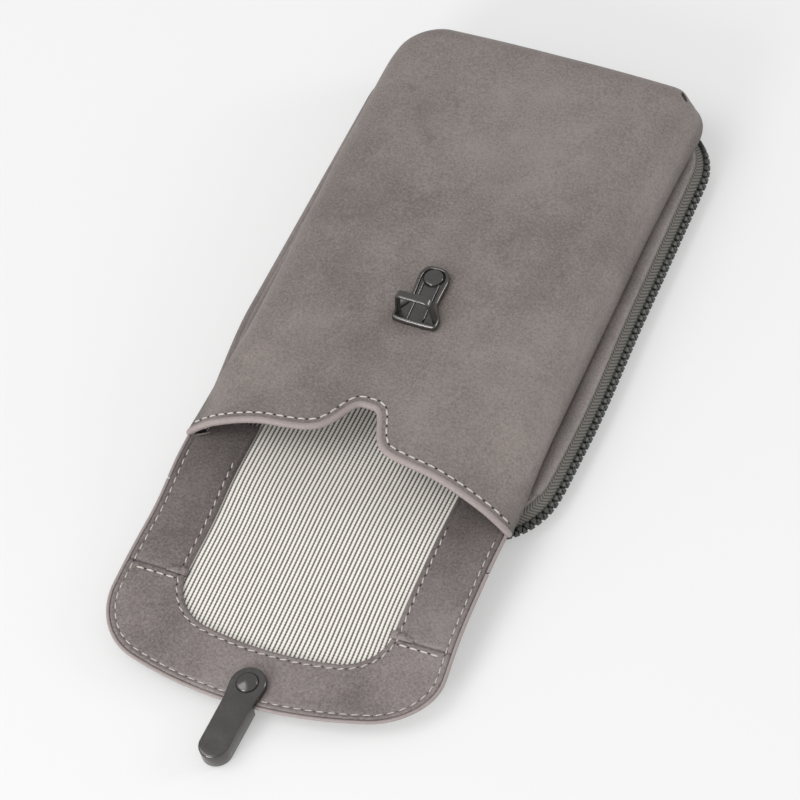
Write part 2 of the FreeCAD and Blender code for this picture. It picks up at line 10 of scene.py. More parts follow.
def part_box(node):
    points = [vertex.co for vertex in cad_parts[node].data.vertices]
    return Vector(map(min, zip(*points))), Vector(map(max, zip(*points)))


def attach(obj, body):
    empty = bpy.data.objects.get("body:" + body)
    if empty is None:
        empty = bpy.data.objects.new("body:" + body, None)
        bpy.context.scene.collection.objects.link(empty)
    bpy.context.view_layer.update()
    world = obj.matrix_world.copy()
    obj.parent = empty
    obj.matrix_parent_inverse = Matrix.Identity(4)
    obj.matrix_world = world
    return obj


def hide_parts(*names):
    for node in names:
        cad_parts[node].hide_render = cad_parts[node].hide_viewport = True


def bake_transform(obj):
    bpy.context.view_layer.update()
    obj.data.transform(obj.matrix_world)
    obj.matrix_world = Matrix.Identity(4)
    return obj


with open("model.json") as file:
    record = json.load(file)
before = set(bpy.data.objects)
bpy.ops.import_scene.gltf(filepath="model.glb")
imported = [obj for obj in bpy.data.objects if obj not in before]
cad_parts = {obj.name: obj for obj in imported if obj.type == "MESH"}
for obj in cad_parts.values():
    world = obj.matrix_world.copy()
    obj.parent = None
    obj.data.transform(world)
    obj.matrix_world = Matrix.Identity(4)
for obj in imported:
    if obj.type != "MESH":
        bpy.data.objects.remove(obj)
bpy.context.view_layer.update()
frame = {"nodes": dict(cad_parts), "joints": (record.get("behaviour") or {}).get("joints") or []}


# Back panel
# The flat leather back that the pouch lies on, cut with round corners, its edge turned in and glued.
# Rings of a rounded rectangle step round the edge and close on the middle line.

mm = 0.001


def box_mm(node):
    """Lowest and highest corner of a CAD node, in millimetres."""
    low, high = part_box(node)
    return np.array(low) / mm, np.array(high) / mm


def columns(*parts):
    """Points from their coordinates, which are stretched to one shape."""
    return np.stack(np.broadcast_arrays(*parts), axis=-1)


def unit(vectors):
    """Vectors of length one with the same directions."""
    return vectors / np.linalg.norm(vectors, axis=-1, keepdims=True)


def whole_turn(count):
    """Even angles round a circle."""
    return np.linspace(0, 2 * math.pi, count + 1)[:-1]


def run_along(points):
    """Distance run at each point of a line."""
    return np.concatenate([[0], np.cumsum(np.linalg.norm(np.diff(points, axis=0), axis=1))])


def follow(place, run, points):
    """Points of a line at given distances along it, straight between its knots."""
    return columns(*(np.interp(place, run, part) for part in points.T))


ring_half = box_mm("zip_teeth_upper")[1][:2]
ring_radius = 17.5
zip_start_x = box_mm("zip_stops")[0][0]


def ring_knots():
    """Plan of the teeth's outer line, a rectangle with round corners: the distance run, the points and their
    outward normals. The run starts at the zip's stop on the mouth end and goes up the zip's side, along the
    closed end and back down the spine."""
    turn = np.radians(np.linspace(-90, 0, 25) + 90 * np.arange(4)[:, None])
    normal = columns(np.cos(turn), np.sin(turn))
    centre = (ring_half - ring_radius) * np.array([[1, -1], [1, 1], [-1, 1], [-1, -1]])
    point = (centre[:, None] + ring_radius * normal).reshape(-1, 2)
    start, start_normal = [[zip_start_x, -ring_half[1]]], [[0, -1]]
    point = np.vstack([start, point, start])
    return run_along(point), point, np.vstack([start_normal, normal.reshape(-1, 2), start_normal])


ring_run, ring_point, ring_normal = ring_knots()
ring_length = ring_run[-1]


def smooth(share):
    """Share from 0 to 1, eased at both ends."""
    share = np.clip(share, 0, 1)
    return share * share * (3 - 2 * share)


side_width = 46.0
lean_start, lean_run, lean_reach, lean_power, lean_limit = -33.0, 110.0, 4.2, 1.2, 1.2
swell_start, swell_run, swell_reach = 8.0, 36.0, 0.7
draw_start, draw_run, draw_reach = -24.0, 40.0, 3.2
corner_start, corner_run, corner_push = 42.0, 26.0, 1.6
corner_side, corner_width = 35.0, 10.0
mouth_start, mouth_run, mouth_push, mouth_cut, mouth_width = -48.0, 22.0, 1.3, 1.2, 30.0


def leaned(x, y):
    """Plan point of the ring after wear: the zip's side leans in towards the closed end as a power of the way
    along and swells towards the mouth, where its corner is rounder and reaches forward; the spine draws in
    towards the mouth, and the zip's far corner is pushed out."""
    along = np.clip((y - lean_start) / lean_run, 0, lean_limit) ** lean_power
    mouth = smooth((mouth_start - y) / mouth_run)
    leaning = lean_reach * along - swell_reach * smooth((swell_start - y) / swell_run) + mouth_cut * mouth
    drawn = draw_reach * smooth((draw_start - y) / draw_run) * smooth(-x / side_width)
    pushed = (corner_push * smooth((y - corner_start) / corner_run) * smooth((x - corner_side) / corner_width)
              - mouth_push * mouth * smooth(x / mouth_width))
    return columns(x - leaning * smooth(x / side_width) + drawn, y + pushed)


def ring_at(distance):
    """Point and outward normal of the teeth's line at each distance along it."""
    wrapped = np.mod(distance, ring_length)
    return leaned(*follow(wrapped, ring_run, ring_point).T), follow(wrapped, ring_run, ring_normal)


merge_gap = 0.001
sharp_angle = math.radians(50)


def surface(name, points, ring_rows=False, ring_columns=False, uv=None, close=False):
    """New mesh piece from a grid of points in millimetres, with a quad between each four neighbours. A ring
    joins the last row or column to the first, and grids stacked before the rows are copies. Points that
    fall together are merged, and open ends are closed with a face. The UV map has a pair for each point."""
    index = np.arange(points.size // 3).reshape(points.shape[:-1])
    if ring_rows:
        index = np.concatenate([index, index[..., :1, :]], axis=-2)
    if ring_columns:
        index = np.concatenate([index, index[..., :1]], axis=-1)
    quads = columns(index[..., :-1, :-1], index[..., :-1, 1:], index[..., 1:, 1:], index[..., 1:, :-1])
    mesh = bpy.data.meshes.new(name)
    mesh.from_pydata((points.reshape(-1, 3) * mm).tolist(), [], quads.reshape(-1, 4).tolist())
    if uv is not None:
        layer = mesh.uv_layers.new(name="weave")
        layer.data.foreach_set("uv", uv.reshape(-1, 2)[quads.ravel()].astype(np.float32).ravel())
    merged = bmesh.new()
    merged.from_mesh(mesh)
    bmesh.ops.remove_doubles(merged, verts=merged.verts, dist=merge_gap * mm)
    if close:
        bmesh.ops.holes_fill(merged, edges=merged.edges, sides=0)
    merged.to_mesh(mesh)
    merged.free()
    mesh.shade_smooth()
    mesh.set_sharp_from_angle(angle=sharp_angle)
    piece = bpy.data.objects.new(name, mesh)
    bpy.context.scene.collection.objects.link(piece)
    return piece


def slab(outline, normal, middle, steps):
    """Grid of a flat piece with a shaped edge: each step (share, out, height) is a ring that lies out from
    the outline along its normal, drawn towards the middle by the share."""
    share, out, height = np.array(steps).T[:, :, None]
    rim = outline + out[..., None] * normal
    plan = rim + share[..., None] * (middle - rim)
    return columns(plan[..., 0], plan[..., 1], height)


def rounded_edge(low, high, edge):
    """Steps of a slab between two heights whose rim is rounded over an edge radius."""
    return [(1, 0, low), (0.6, 0, low), (0.2, 0, low), (0, -edge, low), (0, -0.3 * edge, low + 0.3 * edge),
            (0, 0, low + edge), (0, 0, high - edge), (0, -0.3 * edge, high - 0.3 * edge), (0, -edge, high),
            (0.2, 0, high), (0.6, 0, high), (1, 0, high)]


def ring_slab(name, node, edge):
    """Piece with the plan and heights of a CAD plate inside the ring, rounded at its edge."""
    low, high = box_mm(node)
    place = -zip_start_x + np.linspace(0, ring_length / 2, 130)
    place = np.concatenate([place, -2 * zip_start_x - place[-2:0:-1]])
    point, normal = ring_at(place)
    outline = point - (ring_half[0] - high[0]) * normal
    middle = columns(0, np.clip(outline[:, 1], high[0] - ring_half[1], ring_half[1] - high[0]))
    points = slab(outline, normal, middle, rounded_edge(low[2], high[2], edge))
    return surface(name, points, ring_columns=True)


def wire(tree, node, values):
    """Sets a node's inputs: a socket is linked to its input, and anything else is the input's value."""
    for key, value in values.items():
        if isinstance(value, bpy.types.NodeSocket):
            tree.links.new(value, node.inputs[key])
        else:
            node.inputs[key].default_value = value


def add(tree, kind, values=None, **settings):
    """New node of a kind in a tree, with its settings and its inputs."""
    node = tree.nodes.new("ShaderNode" + kind)
    for key, value in settings.items():
        setattr(node, key, value)
    wire(tree, node, values or {})
    return node


def calc(tree, operation, *values):
    """Output of an arithmetic node for values or sockets."""
    return add(tree, "Math", dict(enumerate(values)), operation=operation).outputs[0]


def weighted_sum(tree, terms):
    """Output socket that adds up (socket, weight) terms."""
    total = 0.0
    for socket, weight in terms:
        total = calc(tree, "MULTIPLY_ADD", socket, weight, total)
    return total


def wave(tree, socket, pitch):
    """Wave from 0 to 1 of a socket, one crest for each pitch."""
    angle = calc(tree, "MULTIPLY", socket, 2 * math.pi / pitch)
    return calc(tree, "MULTIPLY_ADD", calc(tree, "SINE", angle), 0.5, 0.5)


def noise(tree, place, scale, detail, roughness=0.5, distortion=0.0):
    """Output of a noise node at a place socket."""
    return add(tree, "TexNoise", {"Vector": place, "Scale": scale, "Detail": detail, "Roughness": roughness,
                                  "Distortion": distortion}).outputs[0]


def new_group(name, inputs, outputs):
    """Empty node group with named float or vector sockets, and its input and output nodes."""
    group = bpy.data.node_groups.new(name, "ShaderNodeTree")
    for way, sockets in (("INPUT", inputs), ("OUTPUT", outputs)):
        for label, kind in sockets.items():
            group.interface.new_socket(label, in_out=way, socket_type="NodeSocket" + kind)
    return group, group.nodes.new("NodeGroupInput"), group.nodes.new("NodeGroupOutput")


def make_leather_skin():
    """Waxed hide: Tone is soft clouds, smaller patches and specks; Height is fine pebbled grain over the
    patches."""
    group, start, end = new_group("leather_skin", {"Vector": "Vector"}, {"Tone": "Float", "Height": "Float"})
    place = start.outputs["Vector"]
    cloud = noise(group, place, 24.0, 3.0)
    patch = noise(group, place, 105.0, 6.0, 0.62, 0.4)
    speck = noise(group, place, 1500.0, 4.0, 0.7)
    pebble = add(group, "TexVoronoi", {"Vector": place, "Scale": 1700.0}).outputs["Distance"]
    wire(group, end, {"Tone": weighted_sum(group, [(cloud, 0.29), (patch, 0.19), (speck, 0.52)]),
                      "Height": weighted_sum(group, [(pebble, -0.5), (speck, 0.35), (patch, 0.5)])})
    return group


leather_skin = make_leather_skin()


def new_material(name):
    """Node material with its tree and its Principled shader."""
    material = bpy.data.materials.new(name)
    material.use_nodes = True
    return material, material.node_tree, material.node_tree.nodes["Principled BSDF"]


def ramp(tree, socket, stops):
    """Colour ramp output driven by a socket; the stops are (place, colour)."""
    node = add(tree, "ValToRGB", {"Fac": socket})
    elements = node.color_ramp.elements
    while len(elements) < len(stops):
        elements.new(0.5)
    for element, (place, colour) in zip(elements, stops):
        element.position = place
        element.color = (*colour, 1)
    return node.outputs["Color"]


def scaled(tree, socket, low, high):
    """Output that maps a 0 to 1 socket to a range."""
    return add(tree, "MapRange", {"Value": socket, "To Min": low, "To Max": high}).outputs["Result"]


def bump(tree, socket, distance):
    """Normal output of a height socket; the distance is in millimetres."""
    return add(tree, "Bump", {"Height": socket, "Strength": 1.0, "Distance": distance * mm}).outputs["Normal"]


def leather(name, dark, middle, pale, grain=0.12, painted_shade=None):
    """Leather finish from three tones, dark in the hollows of the mottling and pale on its crests. The last
    argument,
    if given, paints shade: an axis and two places along it in millimetres, between which the tone rises from
    a share to full, so that the leather is darker towards the first place."""
    material, tree, shader = new_material(name)
    place = add(tree, "TexCoord").outputs["Object"]
    skin = add(tree, "Group", {"Vector": place}, node_tree=leather_skin).outputs
    colour = ramp(tree, skin["Tone"], [(0.40, dark), (0.5, middle), (0.60, pale)])
    if painted_shade:
        # Painted shade: the colour is scaled down towards the first place, where the leather lies in shade.
        axis, start, end, share = painted_shade
        along = add(tree, "SeparateXYZ", {0: place}).outputs[axis]
        fade = add(tree, "MapRange", {"Value": along, "From Min": start * mm, "From Max": end * mm,
                                      "To Min": share, "To Max": 1.0}).outputs["Result"]
        colour = add(tree, "VectorMath", {0: colour, "Scale": fade}, operation="SCALE").outputs[0]
    wire(tree, shader, {"Base Color": colour, "Roughness": scaled(tree, skin["Tone"], 0.42, 0.62),
                        "Normal": bump(tree, skin["Height"], grain), "Specular IOR Level": 0.35})
    return material


def dress(piece, material, slot, *nodes):
    """Gives a piece its finish and lets it stand for CAD nodes, which it hides; the slot is not used."""
    piece.data.materials.append(material)
    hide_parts(*nodes)
    return piece


taupe = leather("taupe_leather", (0.138, 0.117, 0.110), (0.196, 0.168, 0.158), (0.254, 0.220, 0.207))
back = ring_slab("back_leather", "back_panel", 0.5)
dress(back, taupe, "taupe_leather", "back_panel")
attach(back, "pouch")


# Back lining
# Plain cotton glued to the inside of the back, the floor of the zipped compartment.
# A thin slab with the back's plan; the crossed threads are waves of the Object coordinates.


def make_plain_weave():
    """Crossed threads: Height is the higher of two wave trains, and Tone is the same with soft clouds."""
    group, start, end = new_group("plain_weave", {"Vector": "Vector", "Scale": "Float"},
                                  {"Tone": "Float", "Height": "Float"})
    place = start.outputs["Vector"]
    threads = [add(group, "TexWave", {"Vector": place, "Scale": start.outputs["Scale"], "Distortion": 0.4,
                                      "Detail": 1.0}, bands_direction=way).outputs["Fac"] for way in "XY"]
    higher = calc(group, "MAXIMUM", *threads)
    cloud = noise(group, place, 60.0, 4.0)
    wire(group, end, {"Tone": weighted_sum(group, [(higher, 0.5), (cloud, 0.5)]), "Height": higher})
    return group


plain_weave = make_plain_weave()


def lining(name, thread_scale, dark, pale):
    """Matt woven cotton between two tones."""
    material, tree, shader = new_material(name)
    place = add(tree, "TexCoord").outputs["Object"]
    weave = add(tree, "Group", {"Vector": place, "Scale": thread_scale}, node_tree=plain_weave).outputs
    wire(tree, shader, {"Base Color": ramp(tree, weave["Tone"], [(0.25, dark), (0.8, pale)]),
                        "Roughness": scaled(tree, weave["Tone"], 0.95, 0.8),
                        "Normal": bump(tree, weave["Height"], 0.08)})
    return material


cotton = lining("plain_cotton", 700.0, (0.20, 0.18, 0.165), (0.36, 0.33, 0.30))
back_cloth = ring_slab("back_cloth", "back_lining", 0.25)
dress(back_cloth, cotton, "plain_lining", "back_lining")
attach(back_cloth, "pouch")


# Spine and lower welt
# A leather strip bent round the closed side of the book-like case, and a corded seam round the back's edge.
# Each is one profile carried along the ring of the teeth.

zip_end = 2 * (ring_half.sum() - zip_start_x - (2 - math.pi / 2) * ring_radius)


def rounded_loop(corners, passes=2):
    """Closed outline with its corners cut: each pass keeps the points a quarter and three quarters along
    every side."""
    loop = np.array(corners, float)
    for _ in range(passes):
        ahead = np.roll(loop, -1, axis=0)
        loop = np.stack([0.75 * loop + 0.25 * ahead, 0.25 * loop + 0.75 * ahead], axis=1).reshape(-1, 2)
    return loop


def ring_band(profile, start, end, step=1.2, shrink=0.0):
    """Closed profile of (out, height) pairs, clockwise, carried along the ring between two distances. Near
    the two ends it is drawn towards its inner point over the shrink length."""
    distance = np.linspace(start, end, int(abs(end - start) / step) + 2)
    point, normal = ring_at(distance)
    out, height = np.broadcast_to(profile.T[:, None], (2, len(distance), len(profile)))
    if shrink:
        near = np.clip(np.minimum(distance - start, end - distance) / shrink, 0, 1)[:, None]
        full = smooth(near)
        out = out.min() + full * (out - out.min())
        height = height.min() + full * (height - height.min())
    plan = point[:, None] + out[..., None] * normal[:, None]
    return np.dstack([plan, height])


gusset_low, gusset_high = box_mm("spine_gusset")
zip_z = (gusset_low[2] + gusset_high[2]) / 2
spine_foot = -4.6
spine_reach, spine_rise = 3.9, 2.9
skin = 1.4
turn = np.radians(np.linspace(90, -90, 19))
spine_outside, spine_inside = [
    columns(spine_foot + (spine_reach - inset) * np.cos(turn), zip_z + (spine_rise - inset) * np.sin(turn))
    for inset in (0.0, skin)]
spine_profile = np.vstack([spine_outside, spine_inside[::-1]])
spine = surface("spine_leather", ring_band(spine_profile, zip_end, ring_length), ring_columns=True,
                close=True)
dress(spine, taupe, "taupe_leather", "spine_gusset")
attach(spine, "pouch")

lower_bead = rounded_loop([(-5.4, 1.6), (-4.2, 1.85), (-3.0, 1.6), (-2.7, 0.9), (-3.0, 0.2), (-4.2, 0.1),
                           (-5.4, 0.15)])
lower_seam = surface("lower_welt_leather", ring_band(lower_bead, 0, ring_length)[:-1], ring_rows=True,
                     ring_columns=True)
dress(lower_seam, taupe, "taupe_leather", "lower_welt")
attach(lower_seam, "pouch")


# Zip
# Herringbone tapes sewn under the two welts, moulded teeth that interlock along their edges, and a metal
# slider with its crown, pull and stops. The tapes and teeth run on the ring; the metal is the CAD's own.
# A tape's UV is in millimetres, along its run and across from its sewn edge.


def make_herringbone():
    """Zigzag rows of slanted threads: the run is shifted by a triangle wave of the distance across, and
    Stripe is a soft wave of the sum."""
    group, start, end = new_group("herringbone", {"Vector": "Vector", "Pitch": "Float", "Row": "Float"},
                                  {"Stripe": "Float"})
    parts = add(group, "SeparateXYZ", {0: start.outputs["Vector"]}).outputs
    shifted = calc(group, "ADD", parts["X"], calc(group, "PINGPONG", parts["Y"], start.outputs["Row"]))
    turns = calc(group, "DIVIDE", shifted, start.outputs["Pitch"])
    wire(group, end, {"Stripe": wave(group, turns, 1.0)})
    return group


herringbone = make_herringbone()


def tape_cloth():
    """Zip tape: grey-green threads with thin brown slanted lines."""
    material, tree, shader = new_material("zip_tape")
    place = add(tree, "UVMap", uv_map="weave").outputs["UV"]
    stripe = add(tree, "Group", {"Vector": place, "Pitch": 1.1, "Row": 1.9}, node_tree=herringbone).outputs[0]
    brown, thread, pale = (0.085, 0.076, 0.067), (0.150, 0.142, 0.128), (0.190, 0.183, 0.166)
    wire(tree, shader, {"Base Color": ramp(tree, stripe, [(0.05, brown), (0.4, thread), (0.9, pale)]),
                        "Roughness": scaled(tree, stripe, 0.95, 0.8), "Normal": bump(tree, stripe, 0.1)})
    return material


tape = tape_cloth()
upper_curve = np.array([(-5.0, 3.45), (-4.2, 3.3), (-3.4, 2.7), (-2.6, 1.85), (-1.95, 1.05)])
lower_curve = np.array([(-5.0, -3.3), (-3.8, -3.05), (-2.4, -2.4), (-1.5, -1.7), (-0.95, -1.0)])
tape_thick, tape_width, tape_step = 0.5, 3.9, 1.2
for side, node, curve in ((1, "zip_tape_upper", upper_curve), (-1, "zip_tape_lower", lower_curve)):
    edge = curve + (0, zip_z)
    profile = np.vstack([edge, edge[::-1] - (0, side * tape_thick)])[::side]
    distance = np.linspace(0, zip_end, int(zip_end / tape_step) + 2)
    across = np.linspace(0, tape_width, len(edge))
    across = np.concatenate([across, across[::-1]])[::side]
    strip = surface(node + "_cloth", ring_band(profile, 0, zip_end, tape_step), ring_columns=True, close=True,
                    uv=columns(distance[:, None], across))
    dress(strip, tape, "zip_tape", node)
    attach(strip, "pouch")


def moulded(name, dark, pale, shine, metallic=0.0):
    """Moulded or cast finish: fine specks between two tones, and a roughness that drifts."""
    material, tree, shader = new_material(name)
    place = add(tree, "TexCoord").outputs["Object"]
    speck, drift = noise(tree, place, 1400.0, 3.0, 0.6), noise(tree, place, 160.0, 3.0)
    both = weighted_sum(tree, [(speck, 0.5), (drift, 0.5)])
    wire(tree, shader, {"Base Color": ramp(tree, both, [(0.35, dark), (0.65, pale)]),
                        "Roughness": scaled(tree, drift, shine - 0.1, shine + 0.1),
                        "Normal": bump(tree, speck, 0.015), "Metallic": metallic})
    return material


tooth_plastic = moulded("tooth_plastic", (0.034, 0.037, 0.033), (0.064, 0.068, 0.060), 0.4)
tooth_pitch = 2.2
tooth_outline = np.array([(-0.72, 1.3), (0.72, 1.3), (0.8, 0.55), (0.45, 0.3), (0.5, -0.25), (0.24, -0.45),
                          (-0.24, -0.45), (-0.5, -0.25), (-0.45, 0.3), (-0.8, 0.55)])
tooth_out, tooth_size = np.array([(-0.65, 0.0), (-0.65, 1.0), (0.35, 1.0), (0.65, 0.75), (0.65, 0.0)]).T
chain_lean = math.radians(30)
chain_set, chain_drop = -0.65, 0.6


def chain_grid(centre, side):
    """One tooth for each distance along the ring: the outline grows and shrinks on its way out. The chain
    faces up and out, but stands upright along the closed end, where the slider runs."""
    point, normal = ring_at(centre)
    along = columns(-normal[:, 1], normal[:, 0])
    leaning = 1 - np.clip(normal[:, 1], 0, 1) ** 2
    lean = (chain_lean * leaning)[:, None, None]
    middle = (chain_set - chain_drop * leaning)[:, None, None]
    across = tooth_size[:, None] * tooth_outline[:, 0]
    upright = side * tooth_size[:, None] * tooth_outline[:, 1]
    out = middle + tooth_out[:, None] * np.cos(lean) - upright * np.sin(lean)
    height = zip_z + tooth_out[:, None] * np.sin(lean) + upright * np.cos(lean)
    plan = (point[:, None, None] + out[..., None] * normal[:, None, None]
            + across[None, ..., None] * along[:, None, None])
    return np.concatenate([plan, height[..., None]], axis=-1)[:, :, ::-side]


first_tooth, end_margin = 1.6, 1.5
for side, node, offset in ((1, "zip_teeth_upper", 0.0), (-1, "zip_teeth_lower", tooth_pitch / 2)):
    centre = np.arange(first_tooth + offset, zip_end - end_margin, tooth_pitch)
    teeth = surface(node + "_moulded", chain_grid(centre, side), ring_columns=True)
    dress(teeth, tooth_plastic, "zip_teeth", node)
    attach(teeth, "pouch")

gunmetal = moulded("gunmetal", (0.105, 0.100, 0.097), (0.135, 0.129, 0.125), 0.24, metallic=0.9)


def soften(node, material, radius):
    """Gives a CAD node its finish, and rounds its edges a little."""
    piece = frame["nodes"][node]
    piece.data.materials.clear()
    piece.data.materials.append(material)
    weld = piece.modifiers.new("weld", "WELD")
    weld.merge_threshold = merge_gap * mm
    bevel = piece.modifiers.new("edge", "BEVEL")
    bevel.width = radius * mm
    bevel.segments = 2
    bevel.limit_method = "ANGLE"
    bevel.harden_normals = False


for node, radius in (("slider_body", 0.3), ("slider_crown", 0.25), ("zip_pull", 0.2), ("zip_stops", 0.25)):
    soften(node, gunmetal, radius)


# Divider
# The stiff leather wall between the zipped compartment and the pocket, with plain cotton under it.
# Two slabs with the ring's plan; a corded seam joins the divider to the tape and the front.

divider = ring_slab("divider_leather", "divider", 0.5)
dress(divider, taupe, "taupe_leather", "divider")
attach(divider, "pouch")
compartment_cloth = ring_slab("compartment_cloth", "compartment_lining", 0.25)
dress(compartment_cloth, cotton, "plain_lining", "compartment_lining")
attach(compartment_cloth, "pouch")

welt_pale = leather("welt_leather", (0.165, 0.142, 0.134), (0.220, 0.192, 0.181), (0.276, 0.243, 0.229))
upper_bead = rounded_loop([(-9.0, 8.7), (-7.2, 9.2), (-5.4, 9.4), (-4.3, 9.1), (-3.8, 8.3), (-4.0, 7.4),
                           (-5.2, 7.15), (-9.0, 7.3)])
mouth_corner_run = ring_half[0] - ring_radius - zip_start_x
welt_margin, welt_taper = 12.0, 16.0
upper_path = ring_band(upper_bead, mouth_corner_run + welt_margin, ring_length - welt_margin,
                       shrink=welt_taper)
upper_seam = surface("upper_welt_leather", upper_path, ring_columns=True, close=True)
dress(upper_seam, welt_pale, "taupe_leather", "upper_welt")
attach(upper_seam, "pouch")


# Pocket lining and flap lining
# One length of striped ribbed cloth lines the pocket's floor, goes over the fold and fills the flap's window.
# It is laid in two pieces that meet between the folds.

joints = {joint["name"]: joint for joint in frame["joints"]}
first_fold, second_fold = [np.array(joints[name]["pos_m"]) / mm for name in ("flap_fold", "flap_close")]
slope = math.atan2(first_fold[2] - second_fold[2], first_fold[1] - second_fold[1])
bend_length = np.linalg.norm(first_fold - second_fold)
ease = 3.0


def on_flap(across, run, depth):
    """Point of the flap from its place across, its run from the first fold and its depth over the inner face.
    The run is level inside the pouch and slopes down beyond the fold, with the change eased over a few
    millimetres: the drop is the sine of the slope times half of the run plus its softened size."""
    soft = np.sqrt(run * run + ease * ease)
    lean = slope * 0.5 * (1 + run / soft)
    drop = math.sin(slope) * 0.5 * (run + soft - ease)
    reach = run - (1 - math.cos(slope)) * np.maximum(run, 0)
    return columns(across, first_fold[1] - reach - depth * np.sin(lean),
                   first_fold[2] - drop + depth * np.cos(lean))


flap_half, flap_tip = 47.0, 62.2
flap_corner, flap_end_radius = 19.0, 120.0
tip_shift, shift_start, shift_run = 0.5, 2.0, 40.0
side_draw, drawn_at, drawn_spread = 0.9, 14.0, 12.0
side_swell, swollen_at, swollen_spread = 1.5, 44.0, 13.0
twist_reach, twist_run = 1.6, 62.0
twist = twist_reach / flap_half / twist_run ** 2


def soft_flap(across, run, depth):
    """Point of a soft layer of the flap: it swings a little to the right towards its tip and runs longer on
    its left, its left side draws in near the fold and its right side swells near the tip, each as a bell."""
    out = across / flap_half
    drawn = side_draw * np.exp(-((run - drawn_at) / drawn_spread) ** 2) * np.clip(-out, 0, 1)
    swollen = side_swell * np.exp(-((run - swollen_at) / swollen_spread) ** 2) * np.clip(out, 0, 1)
    shifted = across + tip_shift * smooth((run - shift_start) / shift_run) + drawn + swollen
    return on_flap(shifted, run - twist * across * np.maximum(run, 0) ** 2, depth)


split = bend_length / 2


def bend_at_fold(piece, part):
    """Bakes a piece's placement into its mesh; a root piece and a flap piece are treated alike."""
    if part == "root":
        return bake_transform(piece)
    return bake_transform(piece)


def flap_outline(half_width, tip, corner, end_radius, root):
    """Outline of a flap layer as (across, run) points and outward normals, from the left root round the tip
    to the right root: straight sides, round corners, and a wide arc across the end."""
    corner_x = half_width - corner
    lean = math.asin(corner_x / (end_radius - corner))
    corner_run = tip - end_radius + math.cos(lean) * (end_radius - corner)
    end_turn = np.linspace(0, lean, 40)
    corner_turn = np.linspace(lean, math.pi / 2, 40)[1:]
    straight = np.linspace(corner_run, root, 60)[1:]
    turn = np.concatenate([end_turn, corner_turn, np.full(len(straight), math.pi / 2)])
    normal = columns(np.sin(turn), np.cos(turn))
    right = np.concatenate([
        (0, tip - end_radius) + end_radius * normal[:len(end_turn)],
        (corner_x, corner_run) + corner * normal[len(end_turn):len(end_turn) + len(corner_turn)],
        columns(half_width, straight)])
    mirror = np.array([-1, 1])
    return np.vstack([(right * mirror)[:0:-1], right]), np.vstack([(normal * mirror)[:0:-1], normal])


def inside_edge(inset, root):
    """The flap's outline drawn in by an inset."""
    return flap_outline(flap_half - inset, flap_tip - inset, flap_corner - inset, flap_end_radius - inset,
                        root)


def stripe_cloth():
    """Cream ribbed cloth: dark dotted lines at an even pitch along the UV's first axis, ribs between them,
    and crossing threads."""
    material, tree, shader = new_material("stripe_cloth")
    place = add(tree, "UVMap", uv_map="weave").outputs["UV"]
    parts = add(tree, "SeparateXYZ", {0: place}).outputs
    line, dots, threads = [wave(tree, parts[axis], pitch)
                           for axis, pitch in (("X", 1.18), ("Y", 0.85), ("Y", 0.42))]
    shade = noise(tree, place, 0.35, 5.0, 0.65)
    dotted = weighted_sum(tree, [(line, 0.72), (dots, 0.18), (shade, 0.14)])
    ribs = weighted_sum(tree, [(line, -0.7), (threads, 0.3)])
    cream, fleck, ink = (0.88, 0.855, 0.80), (0.66, 0.63, 0.58), (0.10, 0.088, 0.075)
    wire(tree, shader, {"Base Color": ramp(tree, dotted, [(0.2, cream), (0.60, fleck), (0.79, ink)]),
                        "Roughness": scaled(tree, shade, 0.95, 0.8), "Normal": bump(tree, ribs, 0.12)})
    return material


stripes = stripe_cloth()
cloth_top = -1.1
cloth_thick = 0.6
pocket_draw, draw_from, draw_over = 3.5, -25.0, 30.0
pocket_high = box_mm("divider_lining")[1]
pocket_run = first_fold[1] - pocket_high[1]


def cloth_grid(half_width, run, drawn):
    """Closed thin sheet over the run: across its top from the right to the left, and back underneath. Its
    right half is drawn in, in proportion to the way out. The points come with their flat UV."""
    across = np.linspace(1, -1, 61)
    across = np.concatenate([across, across[::-1]])
    depth = np.repeat([cloth_top, cloth_top - cloth_thick], 61)
    place = half_width[:, None] * across - drawn[:, None] * np.clip(across, 0, 1)
    return soft_flap(place, run[:, None], depth), columns(half_width[:, None] * across, run[:, None])


fold_start = -12.0
run = np.concatenate([np.linspace(pocket_run, fold_start, 60), np.linspace(fold_start, split, 40)[1:]])
points, uv = cloth_grid(np.full(len(run), pocket_high[0]), run,
                        pocket_draw * smooth((draw_from - run) / draw_over))
pocket_cloth = surface("pocket_stripe", points, ring_columns=True, uv=uv, close=True)
dress(pocket_cloth, stripes, "stripe_fabric", "divider_lining", "bend_fabric")
bend_at_fold(pocket_cloth, "root")

cloth_inset = 2.0
outline, _ = inside_edge(cloth_inset, split)
right = outline[len(outline) // 2:][::-1]
tip_margin = 0.6
run = np.linspace(split, flap_tip - cloth_inset - tip_margin, 60)
points, uv = cloth_grid(np.interp(run, right[:, 1], right[:, 0]), run, np.zeros(len(run)))
flap_cloth = surface("flap_stripe", points, ring_columns=True, uv=uv, close=True)
dress(flap_cloth, stripes, "stripe_fabric", "flap_fabric")
bend_at_fold(flap_cloth, "flap")


# Flap leather
# The outside of the flap, one leather with the divider, its edge turned up round the lining and painted.
# A strip bends over the first fold, and a slab with a raised rim goes on to the round tip.

